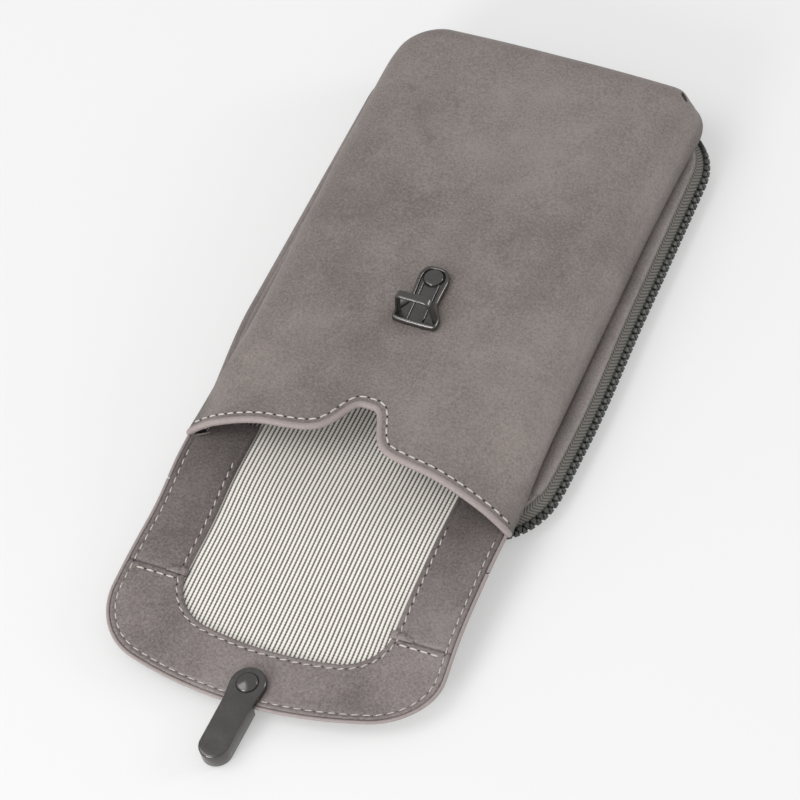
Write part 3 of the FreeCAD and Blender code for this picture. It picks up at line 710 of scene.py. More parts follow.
outer_low, outer_high, rim_top = -3.2, -1.8, -0.85
rim_steps = [(1, 0, outer_low), (0.5, 0, outer_low), (0, -4.2, outer_low), (0, -2.9, outer_low + 0.25),
             (0, -1.9, outer_low + 0.7), (0, -1.2, outer_low + 1.2), (0, -0.7, outer_low + 1.7),
             (0, -0.45, rim_top - 0.3), (0, -0.6, rim_top), (0, -1.4, rim_top - 0.05), (0, -1.7, outer_high),
             (0.5, 0, outer_high), (1, 0, outer_high)]
share, out, height = np.array(rim_steps).T
loop_x = (1 - share) * (flap_half + out)
loop = np.vstack([columns(loop_x, height), columns(-loop_x, height)[-2:0:-1]])
run = np.linspace(fold_start, split, 24)
points = soft_flap(loop[:, 0], run[:, None], loop[:, 1])
fold_leather = surface("fold_leather", points, ring_columns=True, close=True)
dress(fold_leather, taupe, "taupe_leather", "bend_outer")
bend_at_fold(fold_leather, "root")

outline, normal = flap_outline(flap_half, flap_tip, flap_corner, flap_end_radius, split)
middle_from_tip = 28
middle = columns(0, np.minimum(outline[:, 1], flap_tip - middle_from_tip))
plan = slab(outline, normal, middle, rim_steps)
flap_leather = surface("flap_leather", soft_flap(plan[..., 0], plan[..., 1], plan[..., 2]), close=True)
dress(flap_leather, taupe, "taupe_leather", "flap_outer")
bend_at_fold(flap_leather, "flap")


# Flap facing
# The leather border round the window: a strip down each side and a piece round the tip, with their edges
# rolled, butted at two short cross seams and sewn down along both edges.
# Each is a thin sheet, with points closer at its edges, where its height falls; it dips along its stitches.

window_half, window_tip = 29.7, 45.2
window_corner, window_end_radius = 14.0, 100.0
cross_seam = 31.4
facing_inset = 0.75
outer_stitch, inner_stitch = 1.65, 1.6
facing_thick = 0.9
roll_power = 1.4


def dip(distance, at, depth, half):
    """Rounded groove of a depth, centred at a distance, with a half width."""
    return -depth * np.exp(-((distance - at) / half) ** 2)


def roll(distance, depth, reach):
    """Edge that falls by a depth and fades over a reach, a little steeper than an exponential."""
    return -depth * np.exp(-(distance / reach) ** roll_power)


def facing_height(from_edge, from_window, from_seam):
    """Height of the border's face: rolled down at its outer edge, at the window and at the cross seam, dipped
    along its two stitch lines, and full between the edge and the outer stitches."""
    rolled = (roll(from_edge, depth=0.8, reach=0.3) + roll(from_window, depth=0.6, reach=0.3)
              + roll(np.abs(from_seam), depth=0.65, reach=0.45))
    full_edge = dip(from_edge, at=0.8, depth=-0.15, half=0.5)
    return (rolled + full_edge + dip(from_edge, outer_stitch, depth=0.24, half=0.38)
            + dip(from_window, inner_stitch, depth=0.2, half=0.35))


def thicken(piece, thickness):
    """Gives a sheet its thickness on its back."""
    solid = piece.modifiers.new("thickness", "SOLIDIFY")
    solid.thickness = thickness * mm
    solid.offset = -1


# The facing carries painted shade: its tone falls to 0.64 towards the first fold, where the front's dome
# shades it.
facing = leather("facing_leather", (0.128, 0.105, 0.100), (0.202, 0.172, 0.166), (0.276, 0.239, 0.231),
                 painted_shade=("Y", -78.0, -115.0, 0.64))
tuck_start, tuck_end = -7.6, -10.5
tucked_half = 43.4
facing_start, facing_step, no_seam = -16.0, 0.4, 9.0
share = 0.5 - 0.5 * np.cos(np.linspace(0, math.pi, 56))
for side, word in ((1, "right"), (-1, "left")):
    for part, start, end, nodes in (
            ("root", facing_start, split, ["pocket_facing_" + word, "bend_facing_" + word]),
            ("flap", split, cross_seam, ["flap_facing_" + word])):
        run = np.linspace(start, end, int((end - start) / facing_step))
        run = np.concatenate([run[:-1], np.linspace(run[-2], run[-1], 8)[1:]])[:, None]
        tuck = (run - tuck_start) / (tuck_end - tuck_start)
        outer = flap_half - facing_inset - (flap_half - tucked_half) * smooth(tuck)
        from_edge = share * (outer - window_half)
        from_window = (1 - share) * (outer - window_half)
        height = facing_height(from_edge, from_window, cross_seam - run if part == "flap" else no_seam)
        across = side * (outer - from_edge)
        top = soft_flap(across, run, height)[:, ::side]
        under = soft_flap(across, run, np.full(height.shape, -facing_thick))[:, ::-side][:, ::5]
        strip = surface("facing_" + word + "_" + part, np.concatenate([top, under], axis=1),
                        ring_columns=True, close=True)
        dress(strip, facing, "facing_leather", *nodes)
        bend_at_fold(strip, part)


def evenly(points, count):
    """Points spaced evenly along a line of points."""
    run = run_along(points)
    return follow(np.linspace(0, run[-1], count), run, points)


outer_line = evenly(inside_edge(facing_inset, cross_seam)[0], 420)
inner_line = evenly(
    flap_outline(window_half, window_tip, window_corner, window_end_radius, cross_seam)[0], 420)
gap = np.linalg.norm(outer_line - inner_line, axis=1)
plan = outer_line + share[:, None, None] * (inner_line - outer_line)
height = facing_height(share[:, None] * gap, (1 - share[:, None]) * gap, plan[..., 1] - cross_seam)
tip_facing = surface("facing_tip", soft_flap(plan[..., 0], plan[..., 1], height))
thicken(tip_facing, facing_thick)
dress(tip_facing, facing, "facing_leather", "flap_facing_tip")
bend_at_fold(tip_facing, "flap")

# Paler leather for the rolled mouth lip and the flap's edge bead: partly the turned edge's own paler tone,
# partly a painted highlight where the rounded edge catches the light.
pale_lip_and_highlight = leather("pale_lip_and_highlight", (0.285, 0.240, 0.231), (0.320, 0.273, 0.264), (0.352, 0.304, 0.294),
                     grain=0.06)
bead_inset, bead_depth, bead_radius = 0.42, -0.52, 0.5
bead_root = -7.5
turn = whole_turn(12)
for part, root in (("root", bead_root), ("flap", split)):
    line, normal = inside_edge(bead_inset, root)
    right_side = line[:, 0] > 0
    if part == "flap":
        runs = {"tip": np.full(len(line), True)}
    else:
        before_split = line[:, 1] < split
        runs = {"right": before_split & right_side, "left": before_split & ~right_side}
    for word, here in runs.items():
        plan = line[here][:, None] + bead_radius * np.cos(turn)[:, None] * normal[here][:, None]
        points = soft_flap(plan[..., 0], plan[..., 1], bead_depth + bead_radius * np.sin(turn))
        bead = surface("flap_bead_" + word, points, ring_columns=True, close=True)
        dress(bead, pale_lip_and_highlight, "taupe_leather")
        bend_at_fold(bead, part)


# Flap stitching
# Off-white thread along both edges of the border and across the two seams, each stitch sunk at its ends in
# needle holes. A stitch is a small tapered loop of points, repeated along its line.

way_reach = 0.3
stitch_full, stitch_flat, stitch_bow, stitch_sink = 0.6, 0.8, 0.35, 0.15
hole_lift = 0.03


def along_line(points, pitch):
    """Places at an even pitch along a line of points, with the line's direction there, which is taken from a
    little before each place to a little after it."""
    run = run_along(points)
    place = np.arange(pitch / 2, run[-1], pitch)
    at, before, after = [follow(place + shift, run, points) for shift in (0, -way_reach, way_reach)]
    return at, unit(after - before)


def stitch_grid(centre, along, up, length, width, slant):
    """One stitch for each centre: rings along its length that swell as an ellipse and rise as a bow, turned
    by a slant from the line's direction."""
    side = np.cross(up, along)
    way = along * math.cos(slant) + side * math.sin(slant)
    side = np.cross(up, way)
    place = np.linspace(-1, 1, 7)[:, None, None]
    swell = np.sqrt(np.clip(1 - place ** 2, 0, 1)) ** stitch_full
    turn = whole_turn(6)[:, None]
    centre, way, side, up = (array[:, None, None] for array in (centre, way, side, up))
    round_it = 0.5 * width * swell * (side * np.cos(turn) + stitch_flat * up * np.sin(turn))
    bow = width * (stitch_bow * (1 - place ** 2) - stitch_sink)
    return centre + 0.5 * length * place * way + round_it + up * bow


def hole_grid(centre, along, up, size, narrow=0.8):
    """A small dark oval of painted shade for each centre, which stands for a needle hole: a rim ring and the
    hole's middle, laid on the leather.
    """
    side = np.cross(up, along)
    turn = whole_turn(8)[:, None]
    centre, along, side, up = (array[:, None, None] for array in (centre, along, side, up))
    reach = np.array([size, 0.0])[:, None, None]
    return centre + reach * (along * np.cos(turn) + narrow * side * np.sin(turn)) + hole_lift * up


def on_face(place, way, depth):
    """Centre, direction and upward normal on the flap's face for places and directions in its plane."""
    centre = soft_flap(place[:, 0], place[:, 1], depth)
    ahead = soft_flap(*(place + way).T, depth) - centre
    up = soft_flap(place[:, 0], place[:, 1], depth + 1.0) - centre
    return centre, unit(ahead), up


def thread_finish():
    """Waxed thread: off-white with fine slanted plies."""
    material, tree, shader = new_material("thread")
    ply = noise(tree, add(tree, "TexCoord").outputs["Object"], 2600.0, 2.0)
    dark, pale = (0.44, 0.40, 0.37), (0.66, 0.62, 0.58)
    wire(tree, shader, {"Base Color": ramp(tree, ply, [(0.3, dark), (0.7, pale)]),
                        "Roughness": scaled(tree, ply, 0.7, 0.5), "Normal": bump(tree, ply, 0.03)})
    return material


thread = thread_finish()
# Near-black finish of painted shade, for the needle holes, the pleat's slit and the gaps round the rivets.
hole_shade = moulded("painted_hole_shade", (0.012, 0.010, 0.009), (0.028, 0.024, 0.022), 0.8)
stitch_root = -4.0
outer_path = inside_edge(facing_inset + outer_stitch, stitch_root)[0]
inner_path = flap_outline(window_half + inner_stitch, window_tip + inner_stitch, window_corner + inner_stitch,
                          window_end_radius + inner_stitch, stitch_root)[0]
seam_beyond, seam_from_edge, seam_from_window = 1.9, 3.6, 2.0
seam_run = cross_seam + seam_beyond
seam_left = np.array([(-flap_half + seam_from_edge, seam_run), (-window_half - seam_from_window, seam_run)])
thin = dict(length=2.1, width=0.34, slant=0.05)
fine = dict(length=2.1, width=0.36, slant=0.2)
bold = dict(length=2.3, width=0.5, slant=0.0)
threads, holes = {"root": [], "flap": []}, {"root": [], "flap": []}
for path, pitch, depth, size, hole in (
        (outer_path, 3.0, -0.2, thin, 0.2), (inner_path, 3.0, -0.16, fine, 0.36),
        (seam_left, 2.9, 0.0, bold, 0.3), (seam_left * (-1, 1), 2.9, 0.0, bold, 0.3)):
    place, way = along_line(path, pitch)
    for part, here in (("root", place[:, 1] < split), ("flap", place[:, 1] >= split)):
        centre, along, up = on_face(place[here], way[here], depth)
        threads[part].append(stitch_grid(centre, along, up, **size))
        holes[part].append(hole_grid(centre + pitch / 2 * along, along, up, hole))
for part in ("root", "flap"):
    for name, grids, material in (("flap_thread_", threads, thread),
                                  ("flap_needle_hole_shade_", holes, hole_shade)):
        sewn = surface(name + part, np.concatenate(grids[part]), ring_columns=True)
        dress(sewn, material, "facing_leather")
        bend_at_fold(sewn, part)


# Front panel
# The soft domed leather of the phone pocket: shaped over a block, tucked in at its foot and sewn to the welt,
# open at the mouth with a thumb notch. Rings from the foot to the crown's middle line; the ends of the rings
# follow the mouth's edge.

panel_low, panel_high = box_mm("front_panel")
panel_half, panel_far = panel_high[0], panel_high[1]
panel_crown, panel_foot = panel_high[2], panel_low[2]
shoulder, far_corner, tuck_in = 8.0, 11.0, 1.6
crown_radius = 632.9
block_half = panel_half - shoulder
side_end = panel_far - far_corner
mouth_side = panel_low[1]
mouth_half, arch_rise = 47.0, 7.0
left_fall, left_power, right_fall, right_power = 4.0, 2.2, 6.0, 1.5
notch_rise, notch_half, notch_x = 12.3, 6.5, -0.2
notch_left, notch_right = 3.5, 5.0


def mouth_y(across):
    """The mouth's edge: a low arch that falls as a power of the way to each corner, flatter on the left than
    on the right, with a bell-shaped thumb notch that is steeper on its right."""
    way = np.abs(across) / mouth_half
    fall = np.where(across < 0, left_fall * way ** left_power, right_fall * way ** right_power)
    offset = across - notch_x
    notch = notch_rise / (1 + (np.abs(offset) / notch_half) ** np.where(offset < 0, notch_left, notch_right))
    return mouth_side + arch_rise - fall + notch


def crown(across):
    """Height of the dome's top over its width: the arc of a large circle."""
    return panel_crown - across ** 2 / (2 * crown_radius)


waist_ease = 7.0
waist_knots = {1: [(-73, 0.0), (-64, 0.0), (-42, 1.5), (-22, 2.8), (9, 3.6), (25, 4.3), (37, 4.4), (49, 4.4),
                   (66, 4.3), (80, 5.0)],
               -1: [(-73, 0.0), (-66, 0.0), (-61, 0.3), (-56, 1.0), (-51, 1.9), (-45, 2.7), (-38, 3.0),
                    (-23, 2.6), (0, 1.8), (20, 1.0), (60, 0.2), (67, 0.7), (73, 3.0), (80, 5.6)]}
far_stretch, far_start, far_run, far_width = 0.5, 50.0, 26.0, 40.0
flare_start, flare_run, flare_reach = -64.0, 46.0, 2.4
corner_flare, corner_flare_start, corner_flare_run = 0.5, 54.0, 12.0
end_flare_side, end_flare_width = 22.0, 14.0
crease_rise, crease_depth, crease_start, crease_run = 1.0, 0.9, -60.0, 20.0
pleat_line = np.array([(72.0, 37.6), (70.2, 38.8), (63.4, 40.75), (51.8, 44.7)])[::-1]
pleat_fade, pleat_run, pleat_half, pleat_depth = 50.0, 16.0, 1.6, 0.7
pleat_in, pleat_down = 0.3, 0.8
valley_at, ridge_at, ridge_share = 0.7, -1.3, 0.5
flat_start, flat_run, flat_share, flat_power = 24.0, 23.7, 0.7, 1.6
flat_near, flat_far = -66.0, -42.0


def pressed(x, y, z, inward):
    """The mouth's corners are sewn down flat: height over the foot, less a share that grows as a power of the
    way out to the side and fades away from the mouth. A layer that lies inward takes the share of the
    leather's face beside it."""
    out = np.clip((np.abs(x) + inward - flat_start) / flat_run, 0, 1) ** flat_power
    near = smooth((flat_far - y) / (flat_far - flat_near))
    return panel_foot + (z - panel_foot) * (1 - flat_share * out * near)


def waisted(x, y):
    """The soft sides draw in between the mouth and the closed end: x less an inset that follows a few knots
    along the side, averaged over a short stretch so that it bends gently, and fades to nothing at the
    middle."""
    shifts = np.linspace(-1, 1, 9) * waist_ease
    drawn = 0
    for side, knots in waist_knots.items():
        place, inset = np.array(knots).T
        eased = np.mean([np.interp(y + shift, place, inset) for shift in shifts], axis=0)
        drawn = drawn + side * eased * smooth(side * x / side_width)
    return x - drawn


foot_rise = np.linspace(0, 1, 9)[:-1]
shoulder_turn = np.radians(np.linspace(90, 0, 26))
crown_share = np.linspace(0, 1, 31)[1:]
mouth_crowding = 1.15
end_count = 60


def panel_rows(inward):
    """The rows of the dome, from foot to middle: how far each lies out from the block's outline, its share of
    the way to the middle line, and two numbers that give its height from the crown's."""
    reach = shoulder - inward
    out = np.concatenate([reach - tuck_in * (1 - foot_rise) ** 2, reach * np.sin(shoulder_turn),
                          np.zeros(len(crown_share))])
    close = np.concatenate([np.zeros(len(foot_rise) + len(shoulder_turn)), crown_share])
    lift = np.concatenate([foot_rise, np.ones(len(shoulder_turn) + len(crown_share))])
    fall = np.concatenate([np.full(len(foot_rise), shoulder), shoulder - reach * np.cos(shoulder_turn),
                           np.full(len(crown_share), inward)])
    return [array[:, None] for array in (out, close, lift, fall)]


def panel_height(across, lift, fall):
    """Height of a row: the crown less its fall, or on the foot a share of the way up to that."""
    return panel_foot + lift * (crown(across) - fall - panel_foot)


def soft_front(x, y, z, inward=0.0):
    """Point of the dome after its corners are pressed, its sides drawn in and its far right corner pulled
    out. On the right the foot flares out to the seam as a square of the way down and turns in at the seam
    itself, and a pleat at the corner is a bell-shaped valley with a lower ridge beside it."""
    far = np.clip((y - far_start) / far_run, 0, 1) * np.clip(x / far_width, 0, 1)
    down = np.clip(1 - (z - panel_foot) / (panel_crown - shoulder - panel_foot), 0, 1) ** 2
    flare = down * (flare_reach * smooth((y - flare_start) / flare_run)
                    + corner_flare * smooth((y - corner_flare_start) / corner_flare_run))
    crease = (crease_depth * np.exp(-((z - panel_foot) / crease_rise) ** 2)
              * smooth((y - crease_start) / crease_run))
    reach = far_corner - tuck_in
    flare_x = (flare - crease) * np.clip((x - panel_half + far_corner) / reach, 0, 1)
    flare_y = (flare * np.clip((y - side_end) / reach, 0, 1)
               * smooth((x - end_flare_side) / end_flare_width))
    soft_x, soft_y = waisted(x, y) + flare_x, y + far_stretch * far + flare_y
    from_pleat = (soft_x - np.interp(soft_y, *pleat_line.T)) / pleat_half
    pleat = np.exp(-(from_pleat - valley_at) ** 2) - ridge_share * np.exp(-(from_pleat - ridge_at) ** 2)
    pleat = pleat_depth * smooth((soft_y - pleat_fade) / pleat_run) * pleat
    soft_z = pressed(x, y, z, inward) - pleat_down * pleat
    return columns(soft_x - pleat_in * pleat, soft_y, soft_z)


def panel_grid(inward, side_count=150, from_mouth=0.0):
    """The dome moved inward by a thickness: stations from the right mouth corner, up the right side, round
    the closed end and down the left side. On the sides a row starts at the mouth's edge or a way from it."""
    out, close, lift, fall = panel_rows(inward)
    up = np.linspace(0, 1, side_count) ** mouth_crowding
    turn = np.radians(np.linspace(0, 90, 30))[1:-1]
    block_corner = far_corner - shoulder
    corner_x, block_far = block_half - block_corner, panel_far - shoulder
    bx = np.concatenate([np.full(side_count, block_half), corner_x + block_corner * np.cos(turn),
                         np.linspace(corner_x, 0, end_count)])
    by = np.concatenate([np.zeros(side_count), side_end + block_corner * np.sin(turn),
                         np.full(end_count, block_far)])
    nx = np.concatenate([np.ones(side_count), np.cos(turn), np.zeros(end_count)])
    ny = np.concatenate([np.zeros(side_count), np.sin(turn), np.ones(end_count)])
    bx, nx = (np.concatenate([array, -array[-2::-1]]) for array in (bx, nx))
    by, ny = (np.concatenate([array, array[-2::-1]]) for array in (by, ny))
    end_ones = np.ones(len(bx) - 2 * side_count)
    on_side = np.concatenate([np.ones(side_count), 0 * end_ones, np.ones(side_count)])
    up = np.concatenate([up, end_ones, up[::-1]])
    x = (1 - close) * (bx + out * nx)
    pole = panel_far - block_half
    edge = mouth_y(x) + from_mouth
    side_y = edge + up * ((1 - close) * side_end + close * pole - edge)
    end_y = (1 - close) * (by + out * ny) + close * pole
    y = np.where(on_side > 0, side_y, end_y)
    return soft_front(x, y, panel_height(x, lift, fall), inward)


# The front carries painted shade: its tone falls to half towards the foot of its side walls, where they meet
# the welt.
front_leather = leather("front_leather", (0.146, 0.122, 0.113), (0.208, 0.178, 0.165),
                        (0.267, 0.232, 0.217), painted_shade=("Z", panel_foot + 0.2, panel_foot + 6.0, 0.5))
front_points = panel_grid(0.0)
front = surface("front_leather", front_points)
thicken(front, skin)
dress(front, front_leather, "taupe_leather", "front_panel")
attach(front, "pouch")

# The slit in the corner's pleat is not cut: a dark oval of painted shade is laid on the leather in its place.
slit_place = np.array([37.7, 72.0])
slit_size, slit_lift, slit_narrow = 1.7, 0.25, 0.45
from_slit = np.linalg.norm(front_points[..., :2] - slit_place, axis=-1)
row, column = np.unravel_index(np.argmin(from_slit), from_slit.shape)
slit_way = front_points[row, column + 1] - front_points[row, column - 1]
slit_rise = front_points[row + 1, column] - front_points[row - 1, column]
slit_up = np.cross(slit_way, slit_rise)
slit_way, slit_up = unit(slit_way), unit(slit_up)
slit_centre = front_points[row, column] + slit_lift * slit_up
slit_points = hole_grid(slit_centre[None], slit_way[None], slit_up[None], slit_size, slit_narrow)
slit = surface("pleat_slit_shade", slit_points, ring_columns=True)
dress(slit, hole_shade, "taupe_leather")
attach(slit, "pouch")

glue = 0.1
under_skin = skin + glue
front_cloth = surface("front_cloth", panel_grid(under_skin, side_count=70, from_mouth=12.0))
thicken(front_cloth, thickness=0.4)
dress(front_cloth, cotton, "stripe_fabric", "front_lining")
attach(front_cloth, "pouch")


# Mouth
# The front's edge is rolled over a cord, faced inside with leather and sewn once along its length.
# The lip is a round profile carried along the mouth; the facing is a band just under the front.


def mouth_section(inward):
    """Cross-section of the dome from the right foot over the crown to the left: x and z of even points."""
    out, close, lift, fall = (array[:, 0] for array in panel_rows(inward))
    x = (1 - close) * (block_half + out)
    z = panel_height(x, lift, fall)
    x, z = np.concatenate([x, -x[-2::-1]]), np.concatenate([z, z[-2::-1]])
    return evenly(columns(x, z), 520).T


x, z = mouth_section(0.0)
edge = evenly(soft_front(x, mouth_y(x), z), 520)
way = np.gradient(edge, axis=0)
across_way = unit(way[:, ::2])
normal = columns(across_way[:, 1], 0, -across_way[:, 0])
ahead = np.cross(normal, unit(way))
turn = whole_turn(16)[:, None]
lip_reach, lip_rise, lip_sink, lip_lead = 0.95, 0.95, -0.72, 0.1
lip_points = (edge[:, None] + (lip_sink + lip_rise * np.cos(turn)) * normal[:, None]
              + (lip_lead - lip_reach * np.sin(turn)) * ahead[:, None])
lip = surface("mouth_lip", lip_points, ring_columns=True, close=True)
dress(lip, pale_lip_and_highlight, "taupe_leather")
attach(lip, "pouch")

inside_x, inside_z = mouth_section(under_skin)
band_start, band_end = 0.3, 15.0
depth = np.linspace(band_start, band_end, 30)[:, None]
mouth_band = surface("mouth_band", soft_front(inside_x, mouth_y(inside_x) + depth, inside_z, under_skin))
thicken(mouth_band, thickness=0.8)
dress(mouth_band, facing, "facing_leather", "mouth_facing")
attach(mouth_band, "pouch")

stitch_in, stitch_pitch, hole_at, hole_size = 1.75, 3.0, 1.4, 0.3
seam_end = 20
stitch_path = (edge - stitch_in * ahead)[seam_end:-seam_end]
at, way_at = along_line(np.hstack([stitch_path, normal[seam_end:-seam_end]]), stitch_pitch)
centre, along, up = at[:, :3], unit(way_at[:, :3]), unit(at[:, 3:])
mouth_thread = surface("mouth_thread", stitch_grid(centre, along, up, **bold), ring_columns=True)
dress(mouth_thread, thread, "facing_leather")
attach(mouth_thread, "pouch")
mouth_holes = surface("mouth_needle_hole_shade", np.concatenate([
    hole_grid(centre + end * hole_at * along, along, up, hole_size) for end in (-1, 1)]), ring_columns=True)
dress(mouth_holes, hole_shade, "facing_leather")
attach(mouth_holes, "pouch")


# Tongue
# A cast gunmetal tongue held to the flap's tip by a domed rivet, with the CAD's cap on the outside.
# Rings of a long round-ended outline; beyond the leather's edge the casting thickens downward.

tongue_half, head_run, end_run = 4.2, 56.7, 75.4
head_shift, head_swell = 0.9, 0.15
tongue_top, leather_top, tongue_bottom = 2.1, 0.1, -3.2
step_run, step_width, swell_fade = 62.0, 0.6, 6.0


def on_tongue(across, run, depth):
    """Point of the tongue, which sits a little askew: its head is to the right, its tip on the middle."""
    return on_flap(across + head_shift * (end_run - run) / (end_run - head_run), run, depth)


def disc(radius, steps):
    """Rings of a round piece about its middle, from (share, out, height) steps."""
    turn = whole_turn(48)
    normal = columns(np.cos(turn), np.sin(turn))
    return slab(radius * normal, normal, np.zeros(2), steps)


def rivet_steps(low, high, rim, dome):
    """Steps of a rivet's head: a short wall, a rounded rim and a domed top."""
    turn = np.radians(np.linspace(0, 75, 6))
    rounded = [(0, -rim * (1 - math.cos(angle)), high - dome - rim + rim * math.sin(angle)) for angle in turn]
    top = [(share, -rim, high - dome * (1 - share) ** 2) for share in (0.2, 0.4, 0.6, 0.8, 1.0)]
    return [(1, 0, low), (0, 0, low)] + rounded + top


turn = np.radians(np.linspace(-90, 270, 181))
normal = columns(np.sin(turn), np.cos(turn))
outline = tongue_half * normal + columns(0, np.where(np.cos(turn) > 1e-6, end_run, head_run))
outline, normal = np.split(evenly(np.hstack([outline, normal]), 420)[:-1], 2, axis=1)
outline[:, 0] *= 1 + head_swell * (1 - smooth((outline[:, 1] - head_run) / swell_fade))
outline[:, 1] += head_swell * np.minimum(outline[:, 1] - head_run, 0)
middle = columns(0, np.clip(outline[:, 1], head_run, end_run))
plan = slab(outline, normal, middle, [
    (1, 0, tongue_bottom), (0, -0.5, tongue_bottom), (0, -0.15, tongue_bottom + 0.15),
    (0, 0, tongue_bottom + 0.5), (0, 0, leather_top), (0, 0, tongue_top - 0.6), (0, -0.06, tongue_top - 0.35),
    (0, -0.2, tongue_top - 0.15), (0, -0.4, tongue_top - 0.04), (0, -0.7, tongue_top), (0.5, 0, tongue_top),
    (1, 0, tongue_top)])
beyond_edge = smooth((plan[..., 1] - step_run) / step_width)
depth = np.maximum(plan[..., 2], leather_top + (tongue_bottom - leather_top) * beyond_edge)
tongue = surface("tongue_cast", on_tongue(plan[..., 0], plan[..., 1], depth), ring_columns=True)
dress(tongue, gunmetal, "gunmetal", "tongue")
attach(tongue, "flap")

# The dark ring under the rivet's head is painted shade for the groove round it.
head_steps = rivet_steps(tongue_top - 0.5, tongue_top + 1.2, 0.45, 0.55)
gap_shade_steps = rounded_edge(tongue_top - 0.3, tongue_top + 0.06, 0.05)
for name, radius, steps, material, nodes in (
        ("tongue_rivet_head", 2.8, head_steps, gunmetal, ["tongue_rivet"]),
        ("tongue_rivet_gap_shade", 3.1, gap_shade_steps, hole_shade, [])):
    plan = disc(radius, steps) * (1, -1, 1) + (0, head_run, 0)
    piece = surface(name, on_tongue(plan[..., 0], plan[..., 1], plan[..., 2]), ring_columns=True)
    dress(piece, material, "gunmetal", *nodes)
    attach(piece, "flap")
soften("tongue_rivet_cap", gunmetal, 0.1)


# Keeper
# A cast gunmetal plate with a raised rim, two rails and a standing loop, riveted through the front over the
# CAD's washer. The plate is rings of its outline; the loop and the rails are profiles carried along a line.

keeper_y = np.mean(box_mm("keeper_rivet"), axis=0)[1]
keeper_skew = 0.055


def askew(points):
    """The keeper sits a little askew: x grows with the distance in front of the rivet."""
    return points + keeper_skew * (keeper_y - points[..., 1:2]) * np.array([1, 0, 0])


_, front_y, plate_low = box_mm("keeper")[0]
plate_floor, plate_rim = plate_low + 1.15, plate_low + 1.85
half_plate = np.array([(2.2, -7.2), (3.85, -8.8), (4.45, -11.05), (4.35, -13.5), (4.1, -18.2), (4.4, -19.6),
                       (6.3, -22.6), (6.6, -23.6), (6.6, -26.0), (5.9, front_y)])
outline = rounded_loop(np.vstack([half_plate[::-1], half_plate * (-1, 1)]), 4)
way = np.roll(outline, -1, axis=0) - np.roll(outline, 1, axis=0)
normal = unit(columns(way[:, 1], -way[:, 0]))
middle_front = -24.5
middle = columns(0, np.clip(outline[:, 1], middle_front, keeper_y))
plate_steps = [
    (1, 0, plate_low), (0, -0.4, plate_low), (0, -0.1, plate_low + 0.1), (0, 0, plate_low + 0.4),
    (0, -0.05, plate_rim - 0.6), (0, -0.15, plate_rim - 0.3), (0, -0.4, plate_rim - 0.06),
    (0, -0.65, plate_rim), (0, -0.9, plate_rim - 0.06), (0, -1.1, plate_rim - 0.3), (0, -1.25, plate_floor),
    (0.5, -0.6, plate_floor), (1, 0, plate_floor)]
plate = surface("keeper_plate", askew(slab(outline, normal, middle, plate_steps)), ring_columns=True)
dress(plate, gunmetal, "gunmetal", "keeper")
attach(plate, "pouch")

loop_near, loop_far, loop_thick = -25.2, -22.7, 0.95
loop_foot, loop_top = plate_low + 0.4, 31.75
foot_half, top_half, loop_corner = 5.55, 4.6, 1.3
loop_line = np.array([(-foot_half, loop_foot), (-top_half, loop_top), (top_half, loop_top),
                      (foot_half, loop_foot)])
corner_share = np.linspace(0, 1, 9)[:, None]
corners = []
for before, at, after in zip(loop_line, loop_line[1:], loop_line[2:]):
    start, end = (at + loop_corner * unit(other - at) for other in (before, after))
    corners.append((1 - corner_share) ** 2 * start + 2 * corner_share * (1 - corner_share) * at
                   + corner_share ** 2 * end)
line = evenly(np.vstack([loop_line[:1], *corners, loop_line[-1:]]), 80)
way = np.gradient(line, axis=0)
normal = unit(columns(-way[:, 1], way[:, 0]))
half, loop_middle = loop_thick / 2, (loop_near + loop_far) / 2
profile = rounded_loop([(half, loop_far), (half, loop_middle), (half, loop_near), (-half, loop_near),
                        (-half, loop_middle), (-half, loop_far)], 3)
rim = line[:, None] + profile[:, 0][:, None] * normal[:, None]
loop_points = askew(columns(rim[..., 0], profile[:, 1], rim[..., 1]))
loop = surface("keeper_loop", loop_points, ring_columns=True, close=True)
dress(loop, gunmetal, "gunmetal")
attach(loop, "pouch")

rail_x, rail_half, rail_rise = 2.2, 0.38, 0.65
turn = whole_turn(16)
rail_y = np.array([front_y + 0.45, front_y + 0.5, keeper_y - 2.0, keeper_y - 1.95])[:, None]
rail_size = np.array([0.0, 1.0, 1.0, 0.0])[:, None]
section_x, section_z = rail_half * rail_size * np.cos(turn), rail_rise * rail_size * np.sin(turn)
rails = np.stack([columns(x + section_x, rail_y, plate_floor + section_z) for x in (-rail_x, rail_x)])
rails = surface("keeper_rails", askew(rails[:, :, ::-1]), ring_columns=True)
dress(rails, gunmetal, "gunmetal")
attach(rails, "pouch")

# The dark ring under the rivet's head is painted shade for the groove round it.
head_steps = rivet_steps(plate_floor - 0.5, plate_floor + 0.9, 0.5, 0.1)
gap_shade_steps = rounded_edge(plate_floor - 0.3, plate_floor + 0.1, 0.05)
for name, radius, steps, material, nodes in (
        ("keeper_rivet_head", 2.7, head_steps, gunmetal, ["keeper_rivet"]),
        ("keeper_rivet_gap_shade", 3.05, gap_shade_steps, hole_shade, [])):
    piece = surface(name, disc(radius, steps) + (0, keeper_y, 0), ring_columns=True)
    dress(piece, material, "gunmetal", *nodes)
    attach(piece, "pouch")
soften("keeper_washer", gunmetal, 0.1)


# Studio
# A pale floor, a soft sky, a broad lamp from the left and two small ones in front and at the side, with the
# camera at the photograph's angle.

white_share = 0.4


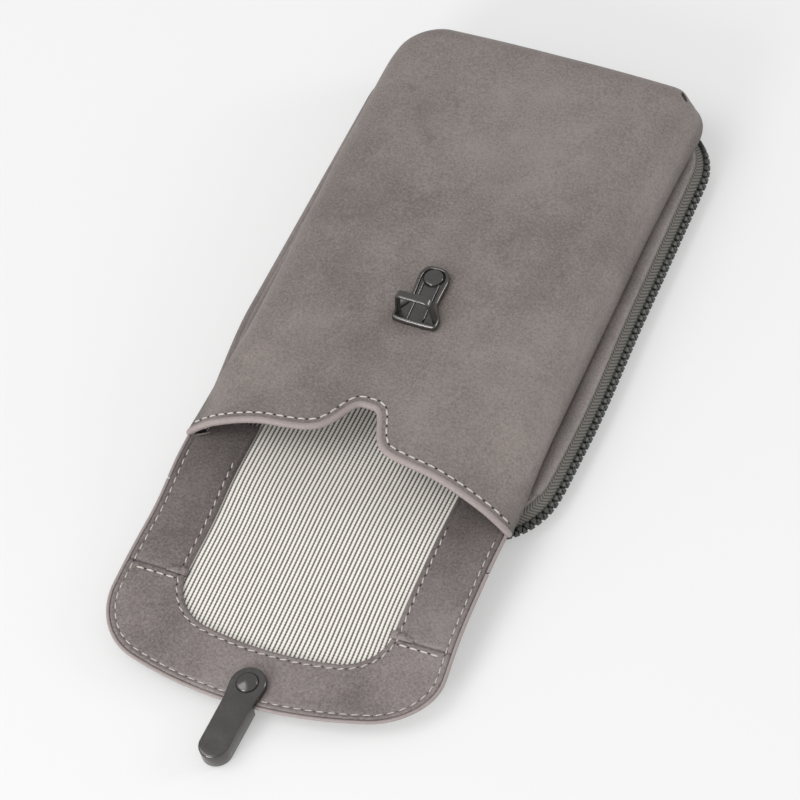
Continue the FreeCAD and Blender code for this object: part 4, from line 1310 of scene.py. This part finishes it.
def floor_finish():
    """Near-white paper with faint clouds. To the camera and in reflections it is part plain white, which
    lifts the paper and lightens the shadow on it."""
    material, tree, shader = new_material("paper")
    cloud = noise(tree, add(tree, "TexCoord").outputs["Object"], 3.0, 3.0)
    paper, pale_paper = (0.875, 0.875, 0.875), (0.885, 0.885, 0.885)
    wire(tree, shader, {"Base Color": ramp(tree, cloud, [(0.3, paper), (0.7, pale_paper)]), "Roughness": 0.9,
                        "Specular IOR Level": 0.0})
    rays = add(tree, "LightPath").outputs
    seen = weighted_sum(tree, [(rays["Is Camera Ray"], white_share), (rays["Is Glossy Ray"], white_share)])
    white = add(tree, "Emission", {"Strength": 0.90}).outputs[0]
    mixed = add(tree, "MixShader", {0: seen, 1: shader.outputs[0], 2: white}).outputs[0]
    wire(tree, tree.nodes["Material Output"], {"Surface": mixed})
    return material


floor_half = 4000.0
corner = np.array([-floor_half, floor_half])
floor = surface("floor", columns(corner, corner[:, None], 0))
floor.data.materials.append(floor_finish())

scene = bpy.context.scene
scene.view_settings.view_transform = "Standard"
world = bpy.data.worlds.new("soft_sky")
world.use_nodes = True
wire(world.node_tree, world.node_tree.nodes["Background"], {"Color": (1, 1, 1, 1), "Strength": 0.62})
scene.world = world


def soft_lamp(name, place, size, watts):
    """Square lamp at a place in metres, turned to shine at the pouch."""
    lamp = bpy.data.lights.new(name, "AREA")
    lamp.size = size
    lamp.energy = watts
    holder = bpy.data.objects.new(name, lamp)
    holder.location = place
    holder.rotation_euler = (-Vector(place)).to_track_quat("-Z", "Y").to_euler()
    scene.collection.objects.link(holder)


soft_lamp("key_lamp", (-0.9, -0.6, 1.6), size=1.2, watts=10)
soft_lamp("front_lamp", (-0.3, -1.4, 0.5), size=0.6, watts=12)
soft_lamp("side_lamp", (1.3, 0.8, 0.55), size=0.5, watts=5.5)

azimuth, elevation, tilt = (math.radians(angle) for angle in (33.95, 52.76, -11.98))
aim_point = np.array([-2.16, -35.69, 0.0])
distance, focal_pixels = 1302.0, 4857.0
level = np.array([math.cos(azimuth), math.sin(azimuth), 0])
forward = np.array([-math.sin(azimuth) * math.cos(elevation), math.cos(azimuth) * math.cos(elevation),
                    -math.sin(elevation)])
upward = np.cross(level, forward)
right_way = level * math.cos(tilt) + upward * math.sin(tilt)
up_way = upward * math.cos(tilt) - level * math.sin(tilt)
camera = bpy.data.objects.new("camera", bpy.data.cameras.new("camera"))
picture_pixels, sensor = 800, 36
camera.data.sensor_width = sensor
camera.data.lens = focal_pixels / picture_pixels * sensor
camera.data.clip_end = 20
axes = np.stack([right_way, up_way, -forward, (aim_point - forward * distance) * mm], axis=1)
camera.matrix_world = Matrix(np.vstack([axes, [0, 0, 0, 1]]).tolist())
scene.collection.objects.link(camera)
scene.camera = camera
